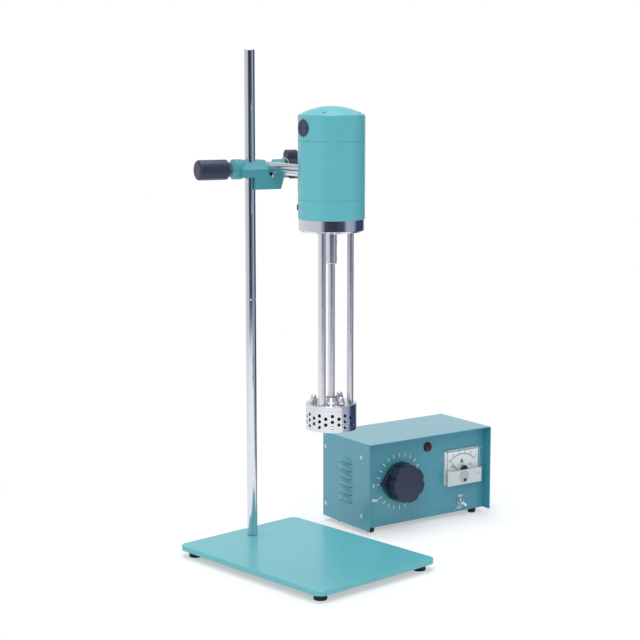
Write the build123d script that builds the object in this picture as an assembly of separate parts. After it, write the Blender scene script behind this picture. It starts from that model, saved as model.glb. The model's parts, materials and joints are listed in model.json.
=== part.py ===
"""Rotor stator homogenizer: stand, clamp, drive head and free-standing speed controller."""
from build123d import *
from math import cos, radians, sin, sqrt
import os

# Lengths are in millimetres, angles in degrees. X runs from the stand to the controller,
# Y from the front edge of the base plate to its rod, and Z up. The rod axis is x = y = 0
# while the pieces are made; the whole set is centred over its own outline at the end.

# ---------------------------------------------------------------- clearances
running_gap = 0.06          # radial play between a shaft or rod and its bore
seat_gap = 0.05             # play between pieces that are only seated on each other
blade_gap = 0.4             # rotor tip to the inside of the perforated ring

# ---------------------------------------------------------------- stand
plate_width = 239.4
plate_front = 283.7         # rod axis to the front edge
plate_back = 35.3           # rod axis to the back edge
plate_thickness = 8.0
plate_corner_radius = 14.0
plate_edge_radius = 1.5
base_foot_height = 10.4
base_foot_diameter = 20.0
base_foot_inset = 19.0
base_foot_recess = 2.5
rod_diameter = 16.0
rod_stud_diameter = 12.0
rod_joint_height = 391.2    # screwed joint of the two rod lengths, above the bench
rod_top_height = 769.0
rod_end_chamfer = 0.8
joint_stud_diameter = 8.0
joint_stud_length = 16.0
rod_nut_width = 19.0
rod_nut_height = 5.5
rod_washer_diameter = 24.0
rod_washer_thickness = 1.5

# ---------------------------------------------------------------- clamp on the rod
head_turn = -15.0           # the clamp and head are swung about the rod from straight ahead
clamp_height = 590.0        # axis of the rod screw and its handle
arm_rise = 2.0              # arm axis above the rod screw
arm_across = 30.0           # rod axis to arm axis, sideways
casting_left = 21.0         # rod axis to the side that carries the screw hub
casting_right = 23.5
casting_front = 18.0
casting_back = 17.0
casting_top = 13.5          # rod screw axis to the top face
casting_belly = 12.3        # rod screw axis to the underside
casting_bevel = 13.5        # sloping faces along the front and left upper edges
hub_diameter = 30.5
hub_end = 33.5
hub_inner_end = 12.0
hub_chamfer = 4.5
saddle_left = 1.5           # rod axis to the left edge of the plate under the arm
saddle_foot = 43.5          # rod axis to its lower right corner
saddle_right = 51.0         # rod axis to its upper right corner
saddle_bottom = 30.5        # rod screw axis to its lower edge
saddle_top = 6.1            # rod screw axis to its upper edge
saddle_thickness = 9.0
cradle_left = 12.0
cradle_bottom = 20.0
cradle_back = 12.0
notch_depth = 5.5
notch_width = 6.5
jaw_start = 37.0
jaw_end = 58.0
jaw_web_end = 50.0
jaw_diameter = 24.0
jaw_chamfer = 3.0
handle_diameter = 30.5
handle_start = 40.0
handle_length = 48.0
handle_round = 4.0
screw_diameter = 10.0
screw_pad_diameter = 9.0
screw_pad_length = 3.0
stop_screw_across = 29.0
stop_screw_drop = 10.3      # rod screw axis to the small stop screw under the arm
stop_screw_diameter = 5.0
stop_screw_length = 11.0
stop_screw_proud = 3.0
knob_lobe_count = 3
knob_lobe_reach = 26.0
knob_lobe_diameter = 18.0
knob_body_diameter = 32.0
knob_thickness = 12.0
knob_hub_diameter = 22.0
knob_hub_length = 1.5
knob_edge = 1.5
knob_washer_diameter = 30.0
knob_washer_thickness = 2.0
knob_turn = 180.0

# ---------------------------------------------------------------- arm and drive motor
arm_reach = 204.5           # rod axis to motor axis
arm_diameter = 18.0
arm_back_end = 16.0         # rod axis back to the inner end of the bar
arm_end_gap = 0.3           # end of the bar to the motor housing
lug_diameter = 27.0
lug_length = 8.0
motor_diameter = 95.3
motor_wall = 3.0
dome_rise = 12.1
motor_cap_length = 36.9      # cap seam to the rim of the dome
dome_shoulder_radius = 2.4
middle_casing_length = 82.3
lower_casing_length = 27.7
ring_top_height = 528.4
ring_length = 17.9
ring_inset = 1.0
ring_chamfer = 2.5
seam_chamfer = 0.5
casing_spigot = 3.0
motor_shaft_diameter = 10.0
bearing_diameter = 26.0
bearing_width = 8.0
bearing_boss_wall = 3.0
brush_rise = 18.5           # cap seam to the brush axis
brush_cap_diameter = 24.6
brush_cap_reach = 48.8      # motor axis to the outer face of the cap
brush_cap_seat = 42.0
brush_cap_slot = 1.6
brush_cap_dish = 15.0       # shallow recess in the face
brush_cap_dish_depth = 0.8
brush_direction = 5.0       # from square to the arm
brush_tube_diameter = 14.0
brush_size = 8.0
commutator_diameter = 30.0
commutator_length = 14.0
commutator_bars = 12
commutator_groove = 1.0
core_length = 52.0
core_rise = 39.9            # lower casing seam to the middle of the core
field_bore = 56.0
field_pole_width = 46.0
field_yoke = 9.0
coil_side = 7.0
coil_overhang = 9.0
armature_gap = 1.0
armature_slots = 12
armature_slot_width = 4.0
armature_slot_depth = 9.0
winding_length = 9.0
winding_diameter = 42.0
fan_diameter = 80.0
fan_hub_diameter = 24.0
fan_blades = 9
fan_blade_thickness = 2.0
fan_height = 14.0
fan_blade_margin = 1.0
fan_disc = 2.0
fan_rise = 6.6              # top of the ring to the fan disc
gland_drop = 11.4            # lower casing seam to the cable gland
gland_diameter = 9.0
gland_reach = 49.0
gland_direction = 154.0     # from +X, seen from above

# ---------------------------------------------------------------- shaft, supports, work head
sleeve_diameter = 15.2
sleeve_drop = 46.1          # underside of the ring to the lower end of the sleeve
sleeve_top_gap = 0.8
shaft_meeting_drop = 24.5   # underside of the ring to where the two shafts meet
drive_shaft_diameter = 10.0
support_count = 3
support_diameter = 9.3
support_circle = 27.1
support_direction = 214.0
support_spigot_diameter = 6.0
support_spigot_length = 5.0
flange_diameter = 73.2
flange_top_height = 263.6
flange_thickness = 6.8
flange_hub_top_diameter = 12.8
flange_hub_base_diameter = 21.0
flange_hub_height = 10.5
bush_outer_diameter = 14.0
bush_collar_diameter = 12.6
bush_collar_height = 3.4
nut_circle = 25.6
nut_across_flats = 10.0
nut_hex_height = 5.5
nut_dome_height = 6.2
nut_dome_diameter = 8.6
stud_diameter = 5.0
ring_wall = 3.0
work_head_height = 38.0     # flange top to the lower edge of the perforated ring
stator_web = 3.0
stator_web_bore = 16.0
stator_seam = 0.4
hole_diameter = 5.2
hole_columns = 24
hole_row_pitch = 8.3
hole_top_row = 7.2          # flange underside to the uppermost row
hole_phase = 4.2
rotor_hub_diameter = 20.0
rotor_blades = 4
rotor_blade_thickness = 5.0
rotor_top_gap = 1.0
rotor_bottom_gap = 3.0

# ---------------------------------------------------------------- speed controller
box_corner_x = 168.0        # front left corner of the controller on the bench
box_corner_y = -90.2
box_turn = -8.3
box_width = 253.5
box_depth = 128.4
box_foot_height = 8.0
box_foot_diameter = 12.5
box_foot_inset = 20.0       # from the sides
box_foot_setback = 24.0     # from the front and rear edges
box_foot_top_diameter = 14.5
box_top_height = 149.6
sheet = 1.5
cover_bend = 2.5
panel_recess = 17.0
panel_thickness = 2.0
louvre_count = 6
louvre_length = 39.0
louvre_height = 6.0
louvre_pitch = 12.9
louvre_reach = 2.5
louvre_top = 116.4          # centre of the top louvre above the bench
louvre_middle = 63.5        # centre of the louvres behind the front edge
dial_across = 73.8          # dial centre from the left side
dial_height = 77.6
dial_skirt_diameter = 65.0
dial_skirt_height = 7.0
dial_grip_diameter = 60.0
dial_grip_height = 27.0
dial_lobes = 7
dial_first_valley = 6.0     # from +X, seen from the front
dial_scallop_diameter = 14.0
dial_scallop_depth = 2.6
dial_edge = 1.5
dial_pointer_reach = 39.7
dial_spindle_diameter = 8.0
dial_gap = 0.8
toroid_diameter = 98.0
toroid_bore = 46.0
toroid_depth = 38.0
toroid_setback = 14.0       # back of the front panel to the ring core
wiper_thickness = 3.0
wiper_width = 12.0
wiper_reach = 38.0
contact_diameter = 7.0
bracket_thickness = 3.0
bracket_foot = 22.0
toroid_edge = 5.0
wiper_hub_diameter = 18.0
lamp_across = 131.1
lamp_height = 127.2
lamp_diameter = 16.0
lamp_reach = 5.0
lamp_body_diameter = 10.0
lamp_body_length = 24.0
meter_across = 202.0
meter_height = 86.3
meter_width = 72.6
meter_tall = 58.8
meter_base = 2.0
meter_front = 10.0
meter_wall = 1.8
meter_corner = 3.0
meter_barrel_diameter = 52.0
meter_barrel_length = 28.0
meter_card = 1.0
meter_post_diameter = 4.0
needle_length = 36.0
needle_width = 0.8
needle_thickness = 0.6
needle_pivot_rise = 13.0    # above the lower edge of the meter
needle_boss_diameter = 6.0
needle_rest = 45.0          # left of upright
zero_screw_diameter = 5.0
zero_screw_rise = 7.3
toggle_across = 201.0
toggle_height = 25.0
toggle_bush_diameter = 9.0
toggle_bush_reach = 7.0
toggle_nut_width = 11.0
toggle_nut_height = 2.0
toggle_body_width = 14.0
toggle_body_tall = 26.0
toggle_body_depth = 20.0
toggle_pivot_reach = 3.0
toggle_ball_diameter = 5.2
toggle_mouth_diameter = 6.8
toggle_lever_length = 17.0
toggle_lever_tip = 5.0
toggle_lever_root = 3.2
toggle_throw = 13.0
inlet_width = 28.0
inlet_tall = 20.0
inlet_across = 60.0
inlet_height = 45.0
inlet_reach = 3.0
inlet_body_length = 20.0
inlet_hollow_depth = 16.0
inlet_pin_pitch = 7.0
fuse_diameter = 13.0
fuse_across = 105.0
fuse_reach = 9.0
fuse_body_length = 26.0
socket_diameter = 26.0
socket_across = 185.0
socket_height = 50.0
socket_reach = 5.0
socket_pin_circle = 5.0
socket_body_length = 14.0
socket_hollow_depth = 10.0
socket_pin_diameter = 2.4

# ---------------------------------------------------------------- worked out from the above
plate_top = base_foot_height + plate_thickness
casing_bore = motor_diameter - 2 * motor_wall
armature_diameter = field_bore - 2 * armature_gap
flange_bottom = flange_top_height - flange_thickness
stator_bottom_height = flange_top_height - work_head_height
panel_back = panel_recess + panel_thickness
arm_height = clamp_height + arm_rise
ring_bottom_height = ring_top_height - ring_length
sleeve_bottom_height = ring_bottom_height - sleeve_drop
shaft_meeting_height = ring_bottom_height - shaft_meeting_drop
casing_seam_height = ring_top_height + lower_casing_length
cap_seam_height = casing_seam_height + middle_casing_length
dome_rim_height = cap_seam_height + motor_cap_length
dome_apex_height = dome_rim_height + dome_rise
brush_height = cap_seam_height + brush_rise
core_middle_height = casing_seam_height + core_rise
fan_bottom_height = ring_top_height + fan_rise
gland_height = casing_seam_height - gland_drop
core_low = core_middle_height - core_length / 2
core_high = core_middle_height + core_length / 2
toroid_start = panel_back + toroid_setback
cap_inner_end = brush_cap_seat + 1
LOW = (Align.CENTER, Align.CENTER, Align.MIN)
CORNER = (Align.MIN, Align.MIN, Align.MIN)


# ---------------------------------------------------------------- small shapes
def block(x, y, z):
    """Box between pairs of coordinates."""
    return Pos(x[0], y[0], z[0]) * Box(x[1] - x[0], y[1] - y[0], z[1] - z[0], align=CORNER)


def upright(diameter, low, high, x=0.0, y=0.0):
    """Round bar that stands along Z."""
    return Pos(x, y, low) * Cylinder(diameter / 2, high - low, align=LOW)


def along_x(diameter, start, end, y, z):
    """Round bar along X."""
    return Pos(start, y, z) * Rot(0, 90, 0) * Cylinder(diameter / 2, end - start, align=LOW)


def along_y(diameter, start, end, x, z):
    """Round bar along Y."""
    return Pos(x, start, z) * Rot(-90, 0, 0) * Cylinder(diameter / 2, end - start, align=LOW)


def turned(*outline):
    """Body turned about Z from (radius, height) points."""
    face = make_face(Polyline(*outline, close=True))
    return revolve(Plane.XZ * face, Axis.Z)


def around(count, radius, start=0.0):
    """Places evenly spaced on a circle, each turned to face outwards."""
    step = 360 / count
    return [Rot(0, 0, start + step * i) * Pos(radius, 0, 0) for i in range(count)]


def hexagon(across_flats, height):
    """Hexagon bar, standing on z = 0."""
    return extrude(RegularPolygon(across_flats / sqrt(3), 6), height)


def swung(shape):
    """Turn a piece of the clamp or the head to where the head stands."""
    return Rot(0, 0, head_turn) * shape


def at_motor(shape):
    """Put a piece made about the Z axis on the motor axis."""
    return swung(Pos(arm_across, -arm_reach, 0) * shape)


def in_box(shape):
    """Put a piece made in the controller's own corner on the bench."""
    return Pos(box_corner_x, box_corner_y, 0) * Rot(0, 0, box_turn) * shape


# ---------------------------------------------------------------- stand
def foot_places():
    across = plate_width / 2 - base_foot_inset
    back = plate_back - base_foot_inset
    front = base_foot_inset - plate_front
    return [Pos(x, y, 0) for x in (-across, across) for y in (front, back)]


def base_plate():
    plate = block((-plate_width / 2, plate_width / 2), (-plate_front, plate_back),
                  (base_foot_height, plate_top))
    plate = fillet(plate.edges().filter_by(Axis.Z), plate_corner_radius)
    plate = fillet(plate.faces().sort_by(Axis.Z)[-1].edges(), plate_edge_radius)
    plate -= upright(rod_stud_diameter + 2 * running_gap, base_foot_height, plate_top)
    for place in foot_places():
        plate -= place * upright(base_foot_diameter / 2, base_foot_height,
                                 base_foot_height + base_foot_recess)
    return plate


def base_foot():
    """Rubber foot with a tapered side and a plug that presses into the plate."""
    r = base_foot_diameter / 2
    return turned((0, 0), (r, 0), (r * 0.9, base_foot_height), (r / 2, base_foot_height),
                  (r / 2, base_foot_height + base_foot_recess), (0, base_foot_height + base_foot_recess))


def lower_rod():
    nut_end = base_foot_height - rod_washer_thickness - rod_nut_height - 2 * seat_gap
    rod = upright(rod_diameter, plate_top + seat_gap, rod_joint_height)
    rod = chamfer(rod.edges().sort_by(Axis.Z)[-1], rod_end_chamfer)
    rod += upright(rod_stud_diameter, nut_end, plate_top + seat_gap)
    return rod - upright(joint_stud_diameter, rod_joint_height - joint_stud_length, rod_joint_height)


def upper_rod():
    rod = upright(rod_diameter, rod_joint_height, rod_top_height)
    rod = chamfer(rod.edges().group_by(Axis.Z)[-1] + rod.edges().group_by(Axis.Z)[0], rod_end_chamfer)
    return rod + upright(joint_stud_diameter - 2 * seat_gap, rod_joint_height - joint_stud_length + 1,
                         rod_joint_height + 1)


def rod_nut():
    """Nut and washer under the plate that hold the rod."""
    top = base_foot_height - seat_gap
    low = top - rod_washer_thickness
    nut = upright(rod_washer_diameter, low, top)
    nut += Pos(0, 0, low - rod_nut_height) * hexagon(rod_nut_width, rod_nut_height)
    return nut - upright(rod_stud_diameter, 0, top)


# ---------------------------------------------------------------- clamp
def clamp_casting():
    """One casting: a block on the rod with a screw hub, and a cradle with a second hub for the arm."""
    z = clamp_height
    body = block((-casting_left, casting_right), (-casting_front, casting_back),
                 (z - casting_belly, z + casting_top))
    top = body.faces().sort_by(Axis.Z)[-1]
    front_edge = top.edges().filter_by(Axis.X).sort_by(Axis.Y)[0]
    left_edge = top.edges().filter_by(Axis.Y).sort_by(Axis.X)[0]
    body = chamfer([front_edge, left_edge], casting_bevel)
    hub = along_x(hub_diameter, -hub_end, -hub_inner_end, 0, z)
    body += chamfer(hub.edges(), hub_chamfer)
    plate = make_face(Polyline((saddle_left, z - saddle_bottom), (saddle_foot, z - saddle_bottom),
                               (saddle_right, z - saddle_top), (saddle_left, z - saddle_top), close=True))
    body += Pos(0, saddle_thickness - casting_front, 0) * extrude(Plane.XZ * plate, saddle_thickness)
    body += block((cradle_left, saddle_foot), (-casting_front, cradle_back),
                  (z - cradle_bottom, z - saddle_top))
    jaw = along_x(jaw_diameter, jaw_start, jaw_end, 0, arm_height)
    body += chamfer(jaw.edges(), jaw_chamfer)
    body += block((jaw_start, jaw_web_end), (-jaw_diameter / 2 + 2, cradle_back - 1),
                  (z - cradle_bottom, arm_height))
    notch = make_face(Polyline((casting_right - 1, z + 1),
                               (casting_right + notch_width / 3, z - saddle_top - notch_depth),
                               (casting_right + notch_width, z - saddle_top), (casting_right + notch_width, z + 1),
                               close=True))
    body -= Pos(0, saddle_thickness - casting_front, 0) * extrude(Plane.XZ * notch, saddle_thickness + 1)
    body -= upright(rod_diameter + 2 * running_gap, z - saddle_bottom - 1, z + casting_top + 1)
    body -= along_y(arm_diameter + 2 * running_gap, -casting_front - 1, casting_back + 1, arm_across,
                    arm_height)
    body -= along_x(screw_diameter + 2 * running_gap, -hub_end - 1, 0, 0, z)
    body -= along_x(screw_diameter + 2 * running_gap, arm_across, jaw_end + 1, 0, arm_height)
    body -= along_y(stop_screw_diameter, -casting_front - 1, stop_screw_end(), stop_screw_across,
                    z - stop_screw_drop)
    return swung(body)


def stop_screw_end():
    return stop_screw_length - stop_screw_proud - casting_front


def stop_screw():
    """Small plated screw in the front of the cradle, with a socket in its head."""
    start = -casting_front - stop_screw_proud
    z = clamp_height - stop_screw_drop
    screw = along_y(stop_screw_diameter, start, stop_screw_end(), stop_screw_across, z)
    screw = chamfer(screw.edges().group_by(Axis.Y)[0], stop_screw_diameter / 8)
    return swung(screw - along_y(stop_screw_diameter / 2, start, start + 1, stop_screw_across, z))


def rod_pad():
    """Brass plug that the clamp screw presses on the rod."""
    near = rod_diameter / 2 + running_gap
    pad = along_x(screw_pad_diameter, -near - screw_pad_length, 0, 0, clamp_height)
    return swung(pad - upright(2 * near, clamp_height - screw_diameter, clamp_height + screw_diameter))


def arm_pad():
    """Brass plug that the arm screw presses on the arm."""
    near = arm_diameter / 2 + running_gap
    pad = along_x(screw_pad_diameter, arm_across, arm_across + near + screw_pad_length, 0, arm_height)
    return swung(pad - along_y(2 * near, -arm_diameter, arm_diameter, arm_across, arm_height))


def clamp_screw():
    tip = rod_diameter / 2 + running_gap + screw_pad_length + seat_gap
    return swung(along_x(screw_diameter, -handle_start - handle_length / 2, -tip, 0, clamp_height))


def clamp_handle():
    grip = along_x(handle_diameter, -handle_start - handle_length, -handle_start, 0, clamp_height)
    grip = fillet(grip.edges().group_by(Axis.X)[0], handle_round)
    grip = fillet(grip.edges().group_by(Axis.X)[-1], handle_round / 2)
    return swung(grip - along_x(screw_diameter, -handle_start - handle_length / 2, 0, 0, clamp_height))


def arm_knob_start():
    return jaw_end + knob_washer_thickness + 2 * seat_gap


def arm_screw():
    tip = arm_across + arm_diameter / 2 + running_gap + screw_pad_length + seat_gap
    end = arm_knob_start() + knob_hub_length + knob_thickness / 2
    return swung(along_x(screw_diameter, tip, end, 0, arm_height))


def arm_knob():
    """Knob with three round lobes on a short hub, bored for its screw."""
    star = Circle(knob_body_diameter / 2)
    for place in around(knob_lobe_count, knob_lobe_reach - knob_lobe_diameter / 2, knob_turn):
        star += place * Circle(knob_lobe_diameter / 2)
    knob = Pos(0, 0, knob_hub_length) * extrude(star, knob_thickness)
    knob = chamfer(knob.faces().sort_by(Axis.Z)[-1].edges(), knob_edge)
    knob += Cylinder(knob_hub_diameter / 2, knob_hub_length, align=LOW)
    knob -= upright(screw_diameter, 0, knob_hub_length + knob_thickness / 2)
    return swung(Pos(arm_knob_start(), 0, arm_height) * Rot(0, 90, 0) * knob)


def knob_washer():
    start = jaw_end + seat_gap
    washer = along_x(knob_washer_diameter, start, start + knob_washer_thickness, 0, arm_height)
    return swung(washer - along_x(screw_diameter, 0, 2 * start, 0, arm_height))


# ---------------------------------------------------------------- arm and motor housing
def arm_bar():
    end = arm_reach - motor_diameter / 2 - arm_end_gap
    bar = along_y(arm_diameter, -end, arm_back_end, arm_across, arm_height)
    return swung(chamfer(bar.edges().group_by(Axis.Y)[-1], 1.0))


def arm_lug():
    """Socket on the motor that holds the outer end of the arm."""
    face = arm_reach - motor_diameter / 2
    lug = along_y(lug_diameter, -face - motor_wall - 2, -face + lug_length, arm_across, arm_height)
    lug = chamfer(lug.edges().group_by(Axis.Y)[-1], 1.0)
    lug -= upright(motor_diameter + 2 * seat_gap, ring_bottom_height, dome_apex_height, arm_across,
                   -arm_reach)
    return swung(lug - along_y(arm_diameter + 2 * running_gap, -arm_reach, 0, arm_across, arm_height))


def motor_cap():
    """Domed upper section, hollow, with a boss for the upper bearing and two brush holes."""
    r = motor_diameter / 2
    rise = dome_apex_height - dome_rim_height
    rim = r - dome_shoulder_radius
    ball = (rim * rim + rise * rise) / (2 * rise)
    middle = (rim / 2, dome_apex_height - ball + sqrt(ball * ball - rim * rim / 4))
    outline = Polyline((0, cap_seam_height), (r, cap_seam_height),
                       (r, dome_rim_height - dome_shoulder_radius))
    outline += RadiusArc((r, dome_rim_height - dome_shoulder_radius), (rim, dome_rim_height),
                         -dome_shoulder_radius)
    outline += ThreePointArc((rim, dome_rim_height), middle, (0, dome_apex_height))
    outline += Line((0, dome_apex_height), (0, cap_seam_height))
    cap = revolve(Plane.XZ * make_face(outline), Axis.Z)
    cap = chamfer(cap.edges().group_by(Axis.Z)[0], seam_chamfer)
    roof = dome_rim_height - motor_wall
    boss = bearing_diameter / 2 + bearing_boss_wall
    boss_low = roof - bearing_width
    cap -= turned((0, cap_seam_height), (r - motor_wall, cap_seam_height), (r - motor_wall, roof),
                  (boss, roof), (boss, boss_low), (0, boss_low))
    cap -= upright(bearing_diameter + 2 * seat_gap, boss_low, roof)
    bores = along_x(brush_tube_diameter + 2 * seat_gap, -r - 1, r + 1, 0, brush_height)
    bores += along_x(brush_cap_diameter + 2 * seat_gap, -r - 1, -cap_inner_end, 0, brush_height)
    bores += along_x(brush_cap_diameter + 2 * seat_gap, cap_inner_end, r + 1, 0, brush_height)
    return at_motor(cap - Rot(0, 0, brush_direction) * bores)


def casing_section(low, high):
    """Plain tube section of the housing with a spigot that centres the next one above."""
    r = motor_diameter / 2
    tube = upright(motor_diameter, low, high)
    tube = chamfer(tube.edges().group_by(Axis.Z)[0] + tube.edges().group_by(Axis.Z)[-1], seam_chamfer)
    tube += upright(casing_bore - 2 * seat_gap, high, high + casing_spigot)
    tube -= upright(casing_bore - 2 * motor_wall / 2, low - 1, high + casing_spigot + 1)
    tube -= upright(casing_bore, low - 1, high - casing_spigot)
    return tube


def drive_ring():
    """Turned ring below the motor: lower bearing seat, spigot and support rod sockets."""
    r = motor_diameter / 2 - ring_inset
    ring = upright(2 * r, ring_bottom_height, ring_top_height)
    ring = chamfer(ring.edges().group_by(Axis.Z)[0], ring_chamfer)
    ring += upright(casing_bore - 2 * seat_gap, ring_top_height, ring_top_height + casing_spigot)
    bearing_low = ring_top_height - bearing_width
    ring -= upright(bearing_diameter + 2 * seat_gap, bearing_low, ring_top_height + casing_spigot)
    ring -= upright(motor_shaft_diameter + 2 * armature_gap, ring_bottom_height, bearing_low)
    for place in around(support_count, support_circle, support_direction):
        ring -= place * upright(support_spigot_diameter, ring_bottom_height,
                                ring_bottom_height + support_spigot_length)
    return at_motor(ring)


def bearing(low):
    race = upright(bearing_diameter, low, low + bearing_width)
    race -= upright(motor_shaft_diameter + 2 * running_gap, low, low + bearing_width)
    return at_motor(race)


def both_sides(shape):
    """A piece made on the -X side of the motor, with its twin on the +X side."""
    return [at_motor(Rot(0, 0, brush_direction) * shape), at_motor(Rot(0, 0, brush_direction + 180) * shape)]


def brush_caps():
    """Two screw caps over the brushes, dished and slotted for a screwdriver."""
    cap = along_x(brush_cap_diameter, -brush_cap_reach, -cap_inner_end, 0, brush_height)
    cap = chamfer(cap.edges().group_by(Axis.X)[0], brush_cap_dish_depth)
    cap -= along_x(brush_cap_dish, -brush_cap_reach, -brush_cap_reach + brush_cap_dish_depth, 0,
                   brush_height)
    slot = block((-brush_cap_reach, -brush_cap_reach + 2 * brush_cap_dish_depth),
                 (-brush_cap_slot / 2, brush_cap_slot / 2),
                 (brush_height - brush_cap_dish / 2, brush_height + brush_cap_dish / 2))
    return both_sides(cap - slot)


def brush_tubes():
    """Two brass tubes that guide the brushes."""
    tube = along_x(brush_tube_diameter, -cap_inner_end + seat_gap,
                   -commutator_diameter / 2 - 2, 0, brush_height)
    half = brush_size / 2 + seat_gap
    bore = block((-motor_diameter, 0), (-half, half), (brush_height - half, brush_height + half))
    return both_sides(tube - bore)


def carbon_brushes():
    """Two carbon blocks, each hollowed to the commutator."""
    half = brush_size / 2
    near = commutator_diameter / 2 + running_gap
    brush = block((-brush_cap_seat + 1, -commutator_diameter / 4), (-half, half),
                  (brush_height - half, brush_height + half))
    brush -= upright(2 * near, brush_height - brush_size, brush_height + brush_size)
    return both_sides(brush)


def field_core():
    """Laminated two-pole stack pressed into the middle section."""
    core = upright(casing_bore - 2 * motor_wall / 2 - 2 * seat_gap, core_low, core_high)
    inner = casing_bore / 2 - field_yoke
    window = upright(2 * inner, core_low, core_high)
    poles = block((-casing_bore, casing_bore), (-field_pole_width / 2, field_pole_width / 2),
                  (core_low, core_high))
    core -= window - poles
    return at_motor(core - upright(field_bore, core_low, core_high))


def field_coils():
    """Two wound coils, one round each pole."""
    inner = casing_bore / 2 - field_yoke - seat_gap
    half = field_pole_width / 2 + seat_gap
    width = half + coil_side
    low = core_low - coil_overhang
    high = core_high + coil_overhang
    ring = upright(2 * inner, low, high) - upright(field_bore + 2, low, high)
    coil = ring & block((-casing_bore, -1), (-width, width), (low, high))
    coil -= block((-casing_bore, 0), (-half, half), (core_low - seat_gap, core_high + seat_gap))
    return [at_motor(coil), at_motor(Rot(0, 0, 180) * coil)]


def cable_gland():
    """Rubber gland where the motor lead goes in."""
    gland = along_x(gland_diameter, motor_diameter / 2 - motor_wall, gland_reach, 0, gland_height)
    gland = chamfer(gland.edges().group_by(Axis.X)[-1], 1.0)
    gland -= along_x(gland_diameter / 2, 0, 2 * gland_reach, 0, gland_height)
    return at_motor(Rot(0, 0, gland_direction) * gland)


def lower_casing():
    section = casing_section(ring_top_height, casing_seam_height)
    hole = along_x(gland_diameter, 0, motor_diameter, 0, gland_height)
    return at_motor(section - Rot(0, 0, gland_direction) * hole)


# ---------------------------------------------------------------- what turns
def motor_shaft():
    top = dome_rim_height - motor_wall
    return at_motor(upright(motor_shaft_diameter, shaft_meeting_height, top - seat_gap))


def armature():
    """Slotted core with its end windings, pressed on the shaft."""
    core = upright(armature_diameter, core_low, core_high)
    slot_middle = armature_diameter / 2 - armature_slot_depth / 2
    for place in around(armature_slots, slot_middle):
        core -= place * Pos(0, 0, core_low) * Box(armature_slot_depth + 1, armature_slot_width,
                                                 core_length, align=LOW)
    for low in (core_low - winding_length, core_high):
        end = upright(winding_diameter, low, low + winding_length)
        core += fillet(end.edges().sort_by(Axis.Z)[0 if low < core_low else -1], 3.0)
    return at_motor(core - upright(motor_shaft_diameter, core_low - 20, core_high + 20))


def commutator():
    low = brush_height - commutator_length / 2
    drum = upright(commutator_diameter, low, low + commutator_length)
    for place in around(commutator_bars, commutator_diameter / 2):
        drum -= place * Pos(0, 0, low) * Box(commutator_groove * 2, commutator_groove,
                                             commutator_length, align=LOW)
    return at_motor(drum - upright(motor_shaft_diameter, low, low + commutator_length))


def cooling_fan():
    """Disc with radial blades and a hub."""
    low = fan_bottom_height
    fan = upright(fan_diameter, low, low + fan_disc)
    fan += upright(fan_hub_diameter, low, low + fan_height)
    inner = fan_hub_diameter / 2 - fan_blade_margin
    outer = fan_diameter / 2 - fan_blade_margin
    for place in around(fan_blades, (inner + outer) / 2):
        fan += place * Pos(0, 0, low) * Box(outer - inner, fan_blade_thickness,
                                            fan_height - fan_blade_margin, align=LOW)
    return at_motor(fan - upright(motor_shaft_diameter, low, low + fan_height))


def coupling_sleeve():
    top = ring_bottom_height - sleeve_top_gap
    sleeve = upright(sleeve_diameter, sleeve_bottom_height, top)
    sleeve = chamfer(sleeve.edges().group_by(Axis.Z)[0], 0.8)
    sleeve -= upright(motor_shaft_diameter, shaft_meeting_height, top)
    sleeve -= upright(drive_shaft_diameter, sleeve_bottom_height, shaft_meeting_height)
    return at_motor(sleeve)


def drive_shaft():
    low = stator_bottom_height + rotor_bottom_gap
    return at_motor(upright(drive_shaft_diameter, low, shaft_meeting_height))


def rotor():
    """Hub with straight blades that run close inside the perforated ring."""
    low = stator_bottom_height + rotor_bottom_gap
    high = flange_bottom - stator_web - rotor_top_gap
    tip = flange_diameter / 2 - ring_wall - blade_gap
    wheel = upright(rotor_hub_diameter, low, high)
    for place in around(rotor_blades, tip / 2):
        wheel += place * Pos(0, 0, low) * Box(tip, rotor_blade_thickness, high - low, align=LOW)
    wheel &= upright(2 * tip, low, high)
    return at_motor(Rot(0, 0, -head_turn) * (wheel - upright(drive_shaft_diameter, low, high)))


# ---------------------------------------------------------------- supports and work head
def support_rods():
    """Three rods with turned-down ends, from the drive ring to the head flange."""
    rods = []
    for place in around(support_count, support_circle, support_direction):
        rod = upright(support_diameter, flange_top_height, ring_bottom_height)
        rod += upright(support_spigot_diameter - 2 * seat_gap, flange_top_height - support_spigot_length,
                       ring_bottom_height + support_spigot_length - seat_gap)
        rods.append(at_motor(place * rod))
    return rods


def head_flange():
    hub_top = flange_top_height + flange_hub_height
    flange = turned((0, flange_bottom), (flange_diameter / 2, flange_bottom),
                    (flange_diameter / 2, flange_top_height),
                    (flange_hub_base_diameter / 2, flange_top_height),
                    (flange_hub_top_diameter / 2 + 2, hub_top), (0, hub_top))
    flange = chamfer(flange.edges().group_by(Axis.Z)[0].sort_by(SortBy.LENGTH)[-1], stator_seam)
    flange -= upright(bush_outer_diameter - 3, flange_bottom, hub_top)
    for place in around(support_count, support_circle, support_direction):
        flange -= place * upright(support_spigot_diameter, flange_top_height - support_spigot_length,
                                  flange_top_height)
    for place in nut_places():
        flange -= place * upright(stud_diameter, flange_bottom, flange_top_height)
    return at_motor(flange)


def nut_places():
    return around(support_count, nut_circle, support_direction + 180 / support_count)


def shaft_bush():
    """Bronze bush with a collar that stands above the flange hub."""
    hub_top = flange_top_height + flange_hub_height
    bush = upright(bush_outer_diameter - 3 - 2 * seat_gap, flange_bottom, hub_top)
    bush += upright(bush_collar_diameter, hub_top, hub_top + bush_collar_height)
    return at_motor(bush - upright(drive_shaft_diameter + 2 * running_gap, flange_bottom,
                                   hub_top + bush_collar_height))


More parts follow.
